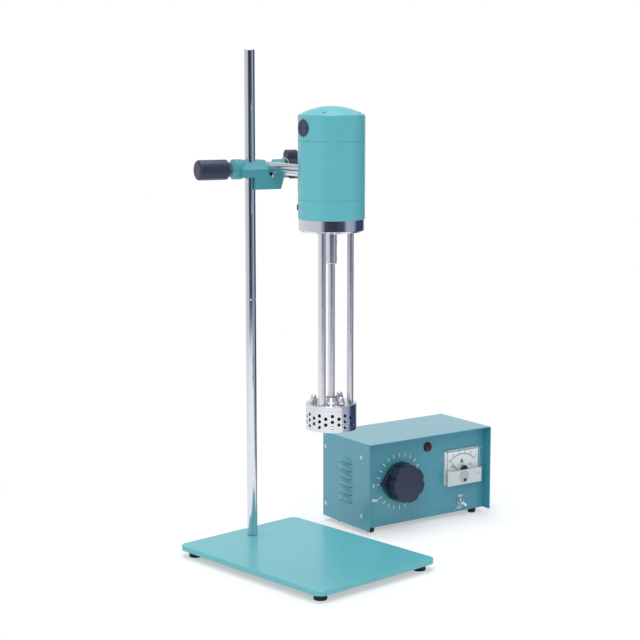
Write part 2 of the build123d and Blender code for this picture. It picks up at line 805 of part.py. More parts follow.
def cap_nuts():
    """Three domed nuts with the studs that hold the perforated ring."""
    nuts = []
    for place in nut_places():
        nut = Pos(0, 0, flange_top_height) * hexagon(nut_across_flats, nut_hex_height)
        dome_low = flange_top_height + nut_hex_height
        dome = upright(nut_dome_diameter, dome_low, dome_low + nut_dome_height)
        nut += fillet(dome.edges().group_by(Axis.Z)[-1], nut_dome_diameter / 2 - 0.3)
        nut += upright(stud_diameter - 2 * seat_gap, flange_bottom - stator_web, dome_low)
        nuts.append(at_motor(place * nut))
    return nuts


def stator_ring():
    """Perforated ring with a thin web on top, holes in columns of three and two by turns."""
    outer = flange_diameter / 2
    ring = upright(flange_diameter, stator_bottom_height, flange_bottom)
    ring = chamfer(ring.edges().group_by(Axis.Z)[-1], stator_seam)
    ring -= upright(flange_diameter - 2 * ring_wall, stator_bottom_height, flange_bottom - stator_web)
    ring -= upright(stator_web_bore, stator_bottom_height, flange_bottom)
    for place in nut_places():
        ring -= place * upright(stud_diameter, stator_bottom_height, flange_bottom)
    top_row = flange_bottom - hole_top_row
    holes = []
    for column in range(hole_columns):
        rows = 3 - column % 2
        first = top_row - (column % 2) * hole_row_pitch / 2
        for row in range(rows):
            hole = along_x(hole_diameter, outer - ring_wall - 1, outer + 1, 0,
                           first - row * hole_row_pitch)
            holes.append(Rot(0, 0, support_direction + hole_phase + column * 360 / hole_columns) * hole)
    return at_motor(ring - holes)


# ---------------------------------------------------------------- controller housing
def louvre(outward):
    """Outlines of a pressed louvre: the hood that leans out, and the slot behind it."""
    low = -louvre_height / 2
    hood = make_face(Polyline((0, -low), (outward * louvre_reach, low + 1), (outward * louvre_reach, low),
                              (0, low), close=True))
    hollow = make_face(Polyline((-outward * sheet, -low - 1.5), (outward * (louvre_reach - 0.9), low),
                                (outward * (louvre_reach - 0.9), low - 1), (-outward * sheet, low - 1),
                                close=True))
    return Plane.XZ * hood, Plane.XZ * hollow


def cover():
    """Bent sheet cover: two sides and a top, with louvres on both sides."""
    shell = block((0, box_width), (0, box_depth), (box_foot_height, box_top_height))
    shell = fillet(shell.edges().filter_by(Axis.Y).group_by(Axis.Z)[-1], cover_bend)
    shell -= block((sheet, box_width - sheet), (-1, box_depth + 1),
                   (box_foot_height - 1, box_top_height - sheet))
    start = louvre_middle - louvre_length / 2
    for wall, outward in ((0, -1), (box_width, 1)):
        for row in range(louvre_count):
            hood, hollow = louvre(outward)
            place = Pos(wall, start + louvre_length, louvre_top - row * louvre_pitch)
            shell += place * extrude(hood, louvre_length)
            shell -= place * Pos(0, -1, 0) * extrude(hollow, louvre_length - 2)
    return in_box(shell)


def chassis():
    """Bottom pan and rear panel in one folded sheet, pierced for the rear fittings."""
    left = sheet + seat_gap
    right = box_width - sheet - seat_gap
    high = box_top_height - sheet - seat_gap
    pan = block((left, right), (panel_back, box_depth), (box_foot_height, box_foot_height + sheet))
    rear = block((left, right), (box_depth - sheet, box_depth), (box_foot_height, high))
    rear -= block((inlet_across - inlet_width / 2, inlet_across + inlet_width / 2),
                  (0, box_depth + 1), (inlet_height - inlet_tall / 2, inlet_height + inlet_tall / 2))
    rear -= along_y(fuse_diameter - 3, 0, box_depth + 1, fuse_across, inlet_height)
    rear -= along_y(socket_diameter - 5, 0, box_depth + 1, socket_across, socket_height)
    return in_box(pan + rear)


def front_panel():
    left = sheet + seat_gap
    panel = block((left, box_width - left), (panel_recess, panel_back),
                  (box_foot_height, box_top_height - sheet - seat_gap))
    panel -= along_y(dial_spindle_diameter + 2, 0, box_depth, dial_across, dial_height)
    panel -= along_y(lamp_body_diameter, 0, box_depth, lamp_across, lamp_height)
    panel -= along_y(meter_barrel_diameter, 0, box_depth, meter_across, meter_height)
    panel -= along_y(toggle_bush_diameter, 0, box_depth, toggle_across, toggle_height)
    return in_box(panel)


def box_feet():
    """Four moulded feet that taper to the bench."""
    low_r = box_foot_diameter / 2
    feet = []
    for x in (box_foot_inset, box_width - box_foot_inset):
        for y in (box_foot_setback, box_depth - box_foot_setback):
            foot = turned((0, 0), (low_r - 0.8, 0), (low_r, 0.8), (box_foot_top_diameter / 2, box_foot_height),
                          (0, box_foot_height))
            feet.append(in_box(Pos(x, y, 0) * foot))
    return feet


# ---------------------------------------------------------------- controller workings
def toroid():
    """Wound ring core of the variable transformer."""
    core = along_y(toroid_diameter, toroid_start, toroid_start + toroid_depth, dial_across, dial_height)
    core = fillet(core.edges(), toroid_edge)
    core -= along_y(toroid_bore, 0, box_depth, dial_across, dial_height)
    return in_box(core)


def toroid_bracket():
    """Folded bracket that stands on the pan and carries the ring core from behind."""
    back = toroid_start + toroid_depth
    low = box_foot_height + sheet
    plate = block((dial_across - toroid_diameter / 2, dial_across + toroid_diameter / 2),
                  (back, back + bracket_thickness), (low, dial_height + toroid_diameter / 2))
    foot = block((dial_across - toroid_diameter / 2, dial_across + toroid_diameter / 2),
                 (back, back + bracket_foot), (low, low + bracket_thickness))
    boss = along_y(toroid_bore - 2 * seat_gap, toroid_start + 4, back, dial_across, dial_height)
    bore = along_y(dial_spindle_diameter + 2 * running_gap, 0, box_depth, dial_across, dial_height)
    return in_box(plate + foot + boss - bore)


def dial_spindle():
    """Spindle through the panel with the wiper arm that carries the contact."""
    end = toroid_start + toroid_depth + bracket_thickness + 2
    start = panel_recess - dial_gap - dial_grip_height / 2
    spindle = along_y(dial_spindle_diameter, start, end, dial_across, dial_height)
    arm_back = toroid_start - 2.0 - running_gap
    arm = block((dial_across - wiper_reach, dial_across), (arm_back - wiper_thickness, arm_back),
                (dial_height - wiper_width / 2, dial_height + wiper_width / 2))
    hub = along_y(wiper_hub_diameter, arm_back - wiper_thickness, arm_back, dial_across, dial_height)
    contact = along_y(contact_diameter, arm_back, toroid_start - running_gap,
                      dial_across - wiper_reach + contact_diameter / 2, dial_height)
    return in_box(spindle + arm + hub + contact)


def dial_knob():
    """Knob with a lobed grip on a drop-shaped skirt whose point lies at zero."""
    skirt_r = dial_skirt_diameter / 2
    grip_r = dial_grip_diameter / 2
    touch_x = -skirt_r * skirt_r / dial_pointer_reach
    touch_y = sqrt(skirt_r * skirt_r - touch_x * touch_x)
    drop = Circle(skirt_r) + make_face(Polyline((-dial_pointer_reach, 0), (touch_x, touch_y),
                                                (touch_x, -touch_y), close=True))
    skirt = extrude(drop, dial_skirt_height)
    skirt = chamfer(skirt.faces().sort_by(Axis.Z)[-1].edges(), dial_edge)
    star = Circle(grip_r)
    for place in around(dial_lobes, grip_r + dial_scallop_diameter / 2 - dial_scallop_depth, dial_first_valley):
        star -= place * Circle(dial_scallop_diameter / 2)
    grip = extrude(star, dial_grip_height)
    grip = chamfer(grip.faces().sort_by(Axis.Z)[-1].edges(), dial_edge)
    knob = skirt + grip - upright(dial_spindle_diameter, 0, dial_grip_height / 2)
    return in_box(Pos(dial_across, panel_recess - dial_gap, dial_height) * Rot(90, 0, 0) * knob)


def lamp_holder():
    """Bezel and threaded body of the pilot lamp."""
    holder = along_y(lamp_diameter, panel_recess - 1.5, panel_recess, lamp_across, lamp_height)
    holder += along_y(lamp_body_diameter - 2 * seat_gap, panel_recess, panel_recess + lamp_body_length,
                      lamp_across, lamp_height)
    return in_box(holder)


def lamp_lens():
    front = panel_recess - 1.5
    lens = along_y(lamp_diameter - 1.5, front - lamp_reach, front, lamp_across, lamp_height)
    return in_box(fillet(lens.edges().group_by(Axis.Y)[0], 3.0))


def meter_low():
    return meter_height - meter_tall / 2


def meter_outline(start, end, inset=0.0):
    """Rounded block of the meter's outline between two depths."""
    half = meter_width / 2 - inset
    tall = meter_tall / 2 - inset
    shape = block((meter_across - half, meter_across + half), (start, end),
                  (meter_height - tall, meter_height + tall))
    return fillet(shape.edges().filter_by(Axis.Y), meter_corner)


def meter_case():
    """Base plate and barrel of the panel meter, with the block that holds its movement."""
    face = panel_recess
    case = meter_outline(face - meter_base, face)
    case += along_y(meter_barrel_diameter - 2 * seat_gap, face, face + meter_barrel_length,
                    meter_across, meter_height)
    post = along_y(meter_post_diameter, face - meter_base - meter_card - 2, face, meter_across,
                   meter_low() + needle_pivot_rise)
    return in_box(case + post)


def meter_dial():
    """Card that carries the scale."""
    back = panel_recess - meter_base
    inset = meter_wall + seat_gap
    card = block((meter_across - meter_width / 2 + inset, meter_across + meter_width / 2 - inset),
                 (back - meter_card, back),
                 (meter_low() + inset, meter_low() + meter_tall - inset))
    post = along_y(meter_post_diameter + 2 * seat_gap, 0, panel_recess, meter_across,
                   meter_low() + needle_pivot_rise)
    return in_box(card - post)


def meter_window():
    """Clear moulded cover with a band across its foot."""
    back = panel_recess - meter_base
    front = panel_recess - meter_front
    shell = meter_outline(front, back)
    shell = chamfer(shell.faces().sort_by(Axis.Y)[0].edges(), 1.0)
    shell -= block((meter_across - meter_width / 2 + meter_wall, meter_across + meter_width / 2 - meter_wall),
                   (front + meter_wall, back + 1),
                   (meter_low() + meter_wall, meter_low() + meter_tall - meter_wall))
    hole = along_y(zero_screw_diameter + 2 * running_gap, front - 1, back, meter_across,
                   meter_low() + zero_screw_rise)
    return in_box(shell - hole)


def meter_needle():
    """Pointer on its boss, at the left end of the scale."""
    back = panel_recess - meter_base - meter_card
    boss = along_y(needle_boss_diameter, back - 2.0 - 2.4, back - 2.0 - running_gap, 0, 0)
    blade = block((-needle_width / 2, needle_width / 2), (back - 4.0, back - 4.0 + needle_thickness),
                  (0, needle_length))
    tail = block((-1.2, 1.2), (back - 4.0, back - 4.0 + needle_thickness), (-6, 0))
    needle = Rot(0, -needle_rest, 0) * (boss + blade + tail)
    return in_box(Pos(meter_across, 0, meter_low() + needle_pivot_rise) * needle)


def zero_screw():
    front = panel_recess - meter_front
    screw = along_y(zero_screw_diameter, front - 1.2, front + meter_wall + 1, meter_across,
                    meter_low() + zero_screw_rise)
    slot = block((meter_across - 3, meter_across + 3), (front - 2, front - 0.6),
                 (meter_low() + zero_screw_rise - 0.5, meter_low() + zero_screw_rise + 0.5))
    return in_box(screw - slot)


def toggle_body():
    """Switch body behind the panel with its threaded bush and nut in front."""
    face = panel_recess
    body = block((toggle_across - toggle_body_width / 2, toggle_across + toggle_body_width / 2),
                 (panel_back, panel_back + toggle_body_depth),
                 (toggle_height - toggle_body_tall / 2 + 4, toggle_height + toggle_body_tall / 2))
    bush = along_y(toggle_bush_diameter - 2 * seat_gap, face - toggle_bush_reach, panel_back,
                   toggle_across, toggle_height)
    nut = Pos(toggle_across, face, toggle_height) * Rot(90, 0, 0) * hexagon(toggle_nut_width,
                                                                           toggle_nut_height)
    pivot = face - toggle_pivot_reach
    socket = Pos(toggle_across, pivot, toggle_height) * Sphere(toggle_ball_diameter / 2 + running_gap)
    mouth = Pos(toggle_across, face - toggle_bush_reach, toggle_height) * Rot(-90, 0, 0) * Cone(
        toggle_mouth_diameter / 2, toggle_lever_root / 2, toggle_bush_reach - toggle_pivot_reach, align=LOW)
    return in_box(body + bush + nut - socket - mouth)


def toggle_lever():
    """Bat-shaped lever, leaning down at OFF."""
    root = toggle_lever_root / 2
    tip = toggle_lever_tip / 2
    bat = turned((0, 0), (root, 0), (tip, toggle_lever_length - tip), (tip * 0.7, toggle_lever_length - 0.8),
                 (0, toggle_lever_length))
    pivot = panel_recess - toggle_pivot_reach
    lever = Rot(90 + toggle_throw, 0, 0) * bat + Sphere(toggle_ball_diameter / 2)
    return in_box(Pos(toggle_across, pivot, toggle_height) * lever)


def mains_inlet():
    """Recessed three-pin inlet on the rear panel."""
    half_w = inlet_width / 2
    half_t = inlet_tall / 2
    rear = box_depth
    body = block((inlet_across - half_w + seat_gap, inlet_across + half_w - seat_gap),
                 (rear - inlet_body_length, rear + inlet_reach), (inlet_height - half_t + seat_gap,
                                                   inlet_height + half_t - seat_gap))
    rim = block((inlet_across - half_w - 4, inlet_across + half_w + 4), (rear, rear + inlet_reach),
                (inlet_height - half_t - 3, inlet_height + half_t + 3))
    hollow = block((inlet_across - half_w + 2, inlet_across + half_w - 2), (rear - inlet_hollow_depth, rear + inlet_hollow_depth),
                   (inlet_height - half_t + 2, inlet_height + half_t - 2))
    inlet = body + rim - hollow
    for x in (-inlet_pin_pitch, 0, inlet_pin_pitch):
        lift = 2 if x == 0 else -2
        inlet += block((inlet_across + x - 1, inlet_across + x + 1), (rear - inlet_hollow_depth - 1, rear - inlet_reach),
                       (inlet_height + lift - 2, inlet_height + lift + 2))
    return in_box(inlet)


def fuse_holder():
    rear = box_depth
    holder = along_y(fuse_diameter, rear, rear + fuse_reach, fuse_across, inlet_height)
    holder = chamfer(holder.edges().group_by(Axis.Y)[-1], 1.0)
    holder += along_y(fuse_diameter - 3 - 2 * seat_gap, rear - fuse_body_length, rear, fuse_across, inlet_height)
    return in_box(holder)


def motor_socket():
    """Round socket that the motor lead plugs into."""
    rear = box_depth
    socket = along_y(socket_diameter, rear, rear + socket_reach, socket_across, socket_height)
    socket += along_y(socket_diameter - 5 - 2 * seat_gap, rear - socket_body_length, rear, socket_across, socket_height)
    socket -= along_y(socket_diameter - 10, rear - socket_hollow_depth, rear + socket_hollow_depth, socket_across, socket_height)
    for i in range(3):
        angle = radians(90 + 120 * i)
        socket += along_y(socket_pin_diameter, rear - socket_hollow_depth - 1, rear - 1,
                          socket_across + socket_pin_circle * cos(angle),
                          socket_height + socket_pin_circle * sin(angle))
    return in_box(socket)


# ---------------------------------------------------------------- the set
def nodes():
    """Every sub-part by name: one shape, or a list of equal pieces."""
    return {
        "base_plate": base_plate(),
        "base_feet": [place * base_foot() for place in foot_places()],
        "rod_nut": rod_nut(),
        "lower_rod": lower_rod(),
        "upper_rod": upper_rod(),
        "clamp_casting": clamp_casting(),
        "rod_pad": rod_pad(),
        "arm_pad": arm_pad(),
        "stop_screw": stop_screw(),
        "clamp_screw": clamp_screw(),
        "clamp_handle": clamp_handle(),
        "arm_screw": arm_screw(),
        "arm_knob": arm_knob(),
        "knob_washer": knob_washer(),
        "arm_bar": arm_bar(),
        "arm_lug": arm_lug(),
        "motor_cap": motor_cap(),
        "middle_casing": at_motor(casing_section(casing_seam_height, cap_seam_height)),
        "lower_casing": lower_casing(),
        "drive_ring": drive_ring(),
        "upper_bearing": bearing(dome_rim_height - motor_wall - bearing_width),
        "lower_bearing": bearing(ring_top_height - bearing_width),
        "brush_caps": brush_caps(),
        "brush_tubes": brush_tubes(),
        "carbon_brushes": carbon_brushes(),
        "field_core": field_core(),
        "field_coils": field_coils(),
        "cable_gland": cable_gland(),
        "motor_shaft": motor_shaft(),
        "armature": armature(),
        "commutator": commutator(),
        "cooling_fan": cooling_fan(),
        "coupling_sleeve": coupling_sleeve(),
        "drive_shaft": drive_shaft(),
        "rotor": rotor(),
        "support_rods": support_rods(),
        "head_flange": head_flange(),
        "shaft_bush": shaft_bush(),
        "cap_nuts": cap_nuts(),
        "stator_ring": stator_ring(),
        "cover": cover(),
        "chassis": chassis(),
        "front_panel": front_panel(),
        "box_feet": box_feet(),
        "toroid": toroid(),
        "toroid_bracket": toroid_bracket(),
        "dial_spindle": dial_spindle(),
        "dial_knob": dial_knob(),
        "lamp_holder": lamp_holder(),
        "lamp_lens": lamp_lens(),
        "meter_case": meter_case(),
        "meter_dial": meter_dial(),
        "meter_window": meter_window(),
        "meter_needle": meter_needle(),
        "zero_screw": zero_screw(),
        "toggle_body": toggle_body(),
        "toggle_lever": toggle_lever(),
        "mains_inlet": mains_inlet(),
        "fuse_holder": fuse_holder(),
        "motor_socket": motor_socket(),
    }


def as_one(shape):
    """A single shape from one piece or a list of pieces."""
    return Compound(children=[Compound(s.solids()) for s in shape]) if isinstance(shape, list) else shape


made = {name: as_one(shape) for name, shape in nodes().items()}
outline = Compound([solid for shape in made.values() for solid in shape.solids()]).bounding_box()
middle = outline.center()
centred = Pos(-middle.X, -middle.Y, -outline.min.Z)

os.makedirs("parts", exist_ok=True)
for name, shape in made.items():
    export_step(centred * Compound(shape.solids()), f"parts/{name}.step")
print("origin", round(middle.X, 4), round(middle.Y, 4), round(outline.min.Z, 4), "size", outline.size)
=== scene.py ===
# %% [markdown]
# # A rotor stator homogenizer, dressed for the camera
# The construction model brings every piece at its real size, already joined. This lesson gives
# each piece its finish, and rebuilds the ones whose roundness the eye would test. Blender works in
# metres here, and `mm` lets every size be written in millimetres, as a maker would say it.

# %% Load the construction model
import json
from math import atan2, cos, degrees, pi, radians, sin, sqrt

import bmesh
import bpy
from mathutils import Matrix, Vector


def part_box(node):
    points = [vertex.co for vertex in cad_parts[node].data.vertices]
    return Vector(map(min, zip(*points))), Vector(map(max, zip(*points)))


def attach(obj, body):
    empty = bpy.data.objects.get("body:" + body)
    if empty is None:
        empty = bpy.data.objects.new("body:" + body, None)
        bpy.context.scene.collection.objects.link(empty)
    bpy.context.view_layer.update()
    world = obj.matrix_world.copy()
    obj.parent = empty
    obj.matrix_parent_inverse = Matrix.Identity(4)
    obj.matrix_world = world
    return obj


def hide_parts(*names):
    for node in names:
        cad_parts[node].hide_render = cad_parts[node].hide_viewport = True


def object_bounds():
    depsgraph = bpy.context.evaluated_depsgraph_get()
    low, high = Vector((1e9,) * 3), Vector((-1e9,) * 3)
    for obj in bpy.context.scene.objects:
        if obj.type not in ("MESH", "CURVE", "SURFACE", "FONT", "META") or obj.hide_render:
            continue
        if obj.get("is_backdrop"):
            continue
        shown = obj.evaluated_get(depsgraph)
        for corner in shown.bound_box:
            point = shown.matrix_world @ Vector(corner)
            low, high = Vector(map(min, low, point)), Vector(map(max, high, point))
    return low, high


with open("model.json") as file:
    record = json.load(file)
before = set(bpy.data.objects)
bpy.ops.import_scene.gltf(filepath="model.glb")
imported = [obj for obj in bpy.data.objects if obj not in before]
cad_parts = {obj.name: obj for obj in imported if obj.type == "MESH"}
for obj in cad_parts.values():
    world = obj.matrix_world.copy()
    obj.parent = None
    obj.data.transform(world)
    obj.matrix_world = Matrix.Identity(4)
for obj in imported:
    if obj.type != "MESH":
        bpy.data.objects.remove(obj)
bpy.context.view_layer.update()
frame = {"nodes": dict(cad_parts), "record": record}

mm = 0.001
nodes = frame["nodes"]

# %% [markdown]
# ## Where things are
# The stand rod, the swung head and the controller are three places that everything else hangs on.
# They are measured from the model, so the dressing follows if the model grows or moves. Each place
# gets a small function that turns millimetres along its own directions into a point in the scene.

# %% Measure the main places
def middle(node):
    """Centre of a node's box."""
    low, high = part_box(node)
    return (low + high) / 2


joints = {j["name"]: j for j in frame["record"]["behaviour"]["joints"]}
handle_way = Vector(joints["rod_lock_turn"]["axis"])
arm_way = Vector(joints["arm_reach"]["axis"])
panel_way = Vector(joints["dial_turn"]["axis"])
width_way = -Vector(joints["toggle_throw"]["axis"])
rod_place = middle("upper_rod")
motor_place = middle("middle_casing")
to_controller = Matrix.Rotation(-atan2(width_way.y, width_way.x), 4, "Z")


def controller_box(node):
    """Lowest and highest corner of a node along the controller's own directions."""
    corners = [to_controller @ v.co for v in nodes[node].data.vertices]
    low = Vector([min(c[i] for c in corners) for i in range(3)])
    high = Vector([max(c[i] for c in corners) for i in range(3)])
    return low, high


dial_u = 73.8
dial_z = 77.6
panel_face = 17.0
dial_place = Vector(joints["dial_turn"]["pos_m"])
box_corner = dial_place - (width_way * dial_u + panel_way * panel_face + Vector((0, 0, dial_z))) * mm
panel_low, panel_high = controller_box("front_panel")
box_width = (panel_high.x - panel_low.x) / mm + 2 * 1.5


def on_rod(x, t, z):
    """Point beside the rod: x away from the handle, t along the arm, z above the bench."""
    return Vector((rod_place.x, rod_place.y, z * mm)) + (handle_way * x + arm_way * t) * mm


def on_head(z):
    """Point at a height on the motor axis."""
    return Vector((motor_place.x, motor_place.y, z * mm))


def on_box(u, v, z):
    """Point of the controller: u from its left side, v from its front edge, z above the bench."""
    return box_corner + (width_way * u + panel_way * v + Vector((0, 0, z))) * mm


def at(place, axis=None, up=None):
    """Matrix that moves a piece from the origin to a place, with its Z along an axis."""
    if axis is None:
        return Matrix.Translation(place)
    out = Vector(axis).normalized()
    side = Vector(up or (0, 0, 1)).cross(out)
    if side.length < 0.01:
        side = handle_way.cross(out)
    side.normalize()
    turned = Matrix((side, out.cross(side), out)).transposed().to_4x4()
    return Matrix.Translation(place) @ turned


head_axis = at(on_head(0))
def on_panel(u, z, v=panel_face):
    """Matrix that sets a piece on the front of the controller, facing out of it."""
    return at(on_box(u, v, z), -panel_way)


print("rod", rod_place, "motor", motor_place, "controller width", round(box_width, 1))

# %% [markdown]
# ## Camera
# A tall stand looks right from a few metres away through a long lens, which keeps its uprights
# nearly parallel. The camera stands to the left front, slightly below the top of the rod.

# %% Set up the camera
view_heading = 47.05        # degrees from +X towards +Y
view_drop = 8.42            # degrees below level
camera_stand = Vector((-1571.8, -1844.2, 716.8)) * mm
focal_pixels = 1591.0
render_pixels = 640

camera_data = bpy.data.cameras.new("camera")
camera_data.sensor_width = 36.0
camera_data.lens = camera_data.sensor_width * focal_pixels / render_pixels
camera_data.clip_end = 50.0
camera = bpy.data.objects.new("camera", camera_data)
camera.location = Vector((rod_place.x, rod_place.y, 0)) + camera_stand
camera.rotation_euler = (radians(90 - view_drop), 0, radians(view_heading - 90))
bpy.context.scene.collection.objects.link(camera)
bpy.context.scene.camera = camera
print("lens", round(camera_data.lens, 1), "mm")

# %% [markdown]
# ## Colours and nodes
# Screen colours are stored with a curve, and the shaders need plain light values, so one
# function turns a hex colour into them. Another adds a node with its settings, its fixed inputs
# and its links, which keeps each finish short enough to read as a recipe.

# %% Helpers for finishes
def colour(code):
    """Linear RGBA of an sRGB hex colour."""
    channels = [int(code[i:i + 2], 16) / 255 for i in (1, 3, 5)]
    return [c / 12.92 if c <= 0.04045 else ((c + 0.055) / 1.055) ** 2.4 for c in channels] + [1.0]


def add(tree, kind, inputs=None, links=None, **settings):
    """Add a shader node: settings are its properties, inputs its fixed values, links its wires."""
    node = tree.nodes.new("ShaderNode" + kind)
    for name, value in settings.items():
        setattr(node, name, value)
    for name, value in (inputs or {}).items():
        node.inputs[name].default_value = value
    for name, (source, output) in (links or {}).items():
        wire(tree, (source, output), (node, name))
    return node


def wire(tree, start, end):
    """Join an output to an input: each is a node and the name or number of its socket."""
    tree.links.new(start[0].outputs[start[1]], end[0].inputs[end[1]])


def begin(name, **inputs):
    """A new material: its node tree, its shader and the coordinates that patterns read."""
    material = bpy.data.materials.new(name)
    material.use_nodes = True
    tree = material.node_tree
    shader = tree.nodes["Principled BSDF"]
    for key, value in inputs.items():
        shader.inputs[key.replace("_", " ")].default_value = value
    place = tree.nodes.new("ShaderNodeTexCoord")
    return material, tree, shader, place


def per(size):
    """Texture scale that repeats about once per size in millimetres."""
    return 1 / (size * mm)


def wear(tree, shader, patches, gloss, grain, strength, height):
    """Let one noise move the roughness between two values, and another raise a bump in millimetres."""
    spread = add(tree, "MapRange", {"To Min": gloss[0], "To Max": gloss[1]}, {"Value": (patches, "Fac")})
    wire(tree, (spread, "Result"), (shader, "Roughness"))
    bump = add(tree, "Bump", {"Strength": strength, "Distance": height * mm}, {"Height": (grain, "Fac")})
    wire(tree, (bump, "Normal"), (shader, "Normal"))


finishes = {}

# %% [markdown]
# ## Painted metal
# The castings, the motor and the base plate are sprayed with semi-gloss enamel. Sprayed paint is
# never quite level: it dries with a shallow ripple called orange peel, a millimetre or two across,
# which breaks up reflections. The colour also drifts a little where the coat is thick or thin.

# %% Enamels
peel_size = 1.6
peel_height = 0.012
drift_size = 60.0


def enamel(name, thin, thick, gloss=0.32, coat=0.25):
    """Sprayed enamel: orange peel in the bump, a slow drift of colour, a little dust in the gloss."""
    material, tree, shader, place = begin(name, Coat_Weight=coat, Coat_Roughness=0.14)
    drift = add(tree, "TexNoise", {"Scale": per(drift_size), "Detail": 3.0},
                {"Vector": (place, "Object")})
    paint = add(tree, "Mix", {"A": colour(thin), "B": colour(thick)}, {"Factor": (drift, "Fac")},
                data_type="RGBA")
    wire(tree, (paint, "Result"), (shader, "Base Color"))
    dust = add(tree, "TexNoise", {"Scale": per(9.0), "Detail": 4.0}, {"Vector": (place, "Object")})
    peel = add(tree, "TexNoise", {"Scale": per(peel_size), "Detail": 2.0}, {"Vector": (place, "Object")})
    wear(tree, shader, dust, (gloss - 0.06, gloss + 0.06), peel, 0.5, peel_height)
    return material


enamels = {
    "teal_enamel": ("teal_enamel", "#64BAC2", "#5CB2BB"),
    "casting_enamel": ("casting_enamel", "#4A9AA3", "#43929C", 0.34, 0.1),
    "controller_enamel": ("controller_enamel", "#459CAD", "#3F96A8", 0.34, 0.7),
    "panel_enamel": ("panel_enamel", "#519FAF", "#4A98A9", 0.36),
}
for slot, recipe in enamels.items():
    finishes[slot] = enamel(*recipe)
print("enamels:", list(enamels))

# %% [markdown]
# ## Bright metal
# The rods, the drive ring and the work head are polished stainless steel or chrome plate. What
# shows on them is mostly the room, with very fine rings left by turning and polishing. The rings
# run round the bar, so the noise that draws them is squeezed along Z.

# %% Steels
def steel(name, tint, roughness, line_size=0.35, line_height=0.0008):
    """Turned and polished metal: fine rings along Z and a faint clouding of the polish."""
    material, tree, shader, place = begin(name, Metallic=1.0, Base_Color=colour(tint))
    squeeze = add(tree, "Mapping", {"Scale": (0.02, 0.02, 1.0)}, {"Vector": (place, "Object")})
    rings = add(tree, "TexNoise", {"Scale": per(line_size), "Detail": 2.0},
                {"Vector": (squeeze, "Vector")})
    cloud = add(tree, "TexNoise", {"Scale": per(14.0), "Detail": 3.0}, {"Vector": (place, "Object")})
    wear(tree, shader, cloud, (roughness * 0.75, roughness * 1.3), rings, 0.4, line_height)
    return material


steels = {
    "polished_steel": ("polished_stainless", "#D9DADD", 0.10),
    "drawn_steel": ("drawn_stainless", "#E4E2E6", 0.24),
    "lamp_chrome": ("bright_chrome_plate", "#DCDDE0", 0.06),
    "machine_steel": ("turned_steel", "#A9AAAD", 0.28, 0.5, 0.003),
    "core_steel": ("stacked_laminations", "#6A6B70", 0.4, 0.5, 0.01),
    "bracket_steel": ("zinc_plated_sheet", "#B9BBB8", 0.3),
    "brass": ("turned_brass", "#C9A458", 0.22),
    "bronze": ("oiled_bronze", "#B9834A", 0.26),
    "copper": ("enamelled_copper_wire", "#B0623A", 0.3, 0.9, 0.02),
    # Dark steel for the rotor: painted shade for the inside of the ring.
    "shadowed_steel": ("machined_steel_in_shadow", "#3A3C42", 0.35, 0.5, 0.003),
}
for slot, recipe in steels.items():
    finishes[slot] = steel(*recipe)

# %% [markdown]
# ## Plastics and rubber
# The handles and knobs are phenolic mouldings: hard, nearly black, with a soft sheen. The feet are
# rubber, which is greyer and has no sheen, because its surface is matt from the mould.

# %% Mouldings
def moulding(name, dark, light, roughness, grain=0.4, grain_height=0.006):
    """Moulded plastic or rubber: a fine grain and slightly uneven gloss."""
    material, tree, shader, place = begin(name)
    bloom = add(tree, "TexNoise", {"Scale": per(12.0), "Detail": 4.0}, {"Vector": (place, "Object")})
    tone = add(tree, "Mix", {"A": colour(dark), "B": colour(light)}, {"Factor": (bloom, "Fac")},
               data_type="RGBA")
    wire(tree, (tone, "Result"), (shader, "Base Color"))
    skin = add(tree, "TexNoise", {"Scale": per(grain), "Detail": 2.0}, {"Vector": (place, "Object")})
    wear(tree, shader, bloom, (roughness - 0.07, roughness + 0.07), skin, 0.4, grain_height)
    return material


mouldings = {
    "black_phenolic": ("black_phenolic", "#222A3E", "#2C354B", 0.38),
    "black_rubber": ("black_rubber", "#1F2024", "#2A2B30", 0.7, 0.6, 0.015),
    "carbon": ("pressed_carbon", "#151515", "#202020", 0.6),
    "meter_card": ("white_card", "#F0F2F4", "#EAEDF0", 0.6),
    "needle_black": ("black_lacquer", "#101014", "#17171B", 0.4),
    "print_white": ("white_screen_ink", "#FCFDFD", "#F2F5F5", 0.5),
    "print_black": ("black_printing_ink", "#1B1C22", "#23242A", 0.5),
    "red_lens": ("red_moulded_lens", "#38101E", "#451626", 0.25),
    "frosted_white": ("frosted_white_acrylic", "#C6CDCF", "#D6DCDD", 0.3),
    "movement_grey": ("grey_movement", "#A9ACAE", "#C4C6C6", 0.5, 1.6, 0.05),
}
for slot, recipe in mouldings.items():
    finishes[slot] = moulding(*recipe)


def clear_acrylic():
    """Clear moulded window: light passes straight through for shadows, so the card behind stays lit."""
    material, tree, shader, place = begin("clear_acrylic", Transmission_Weight=1.0, IOR=1.49,
                                          Base_Color=colour("#F7FAFB"))
    smear = add(tree, "TexNoise", {"Scale": per(16.0), "Detail": 3.0}, {"Vector": (place, "Object")})
    haze = add(tree, "MapRange", {"To Min": 0.01, "To Max": 0.04}, {"Value": (smear, "Fac")})
    wire(tree, (haze, "Result"), (shader, "Roughness"))
    ray = add(tree, "LightPath")
    soft = add(tree, "Math", links={0: (ray, "Is Shadow Ray"), 1: (ray, "Is Diffuse Ray")},
               operation="MAXIMUM")
    clear = add(tree, "BsdfTransparent")
    both = add(tree, "MixShader", links={"Fac": (soft, "Value")})
    wire(tree, (shader, 0), (both, 1))
    wire(tree, (clear, 0), (both, 2))
    output = next(n for n in tree.nodes if n.type == "OUTPUT_MATERIAL")
    wire(tree, (both, 0), (output, "Surface"))
    return material


finishes["clear_window"] = clear_acrylic()
print("finishes:", len(finishes))

# %% [markdown]
# ## Finish every construction piece
# Each node keeps its own shape and gets the finish of its material slot. The ones that are
# rebuilt further down are hidden then.

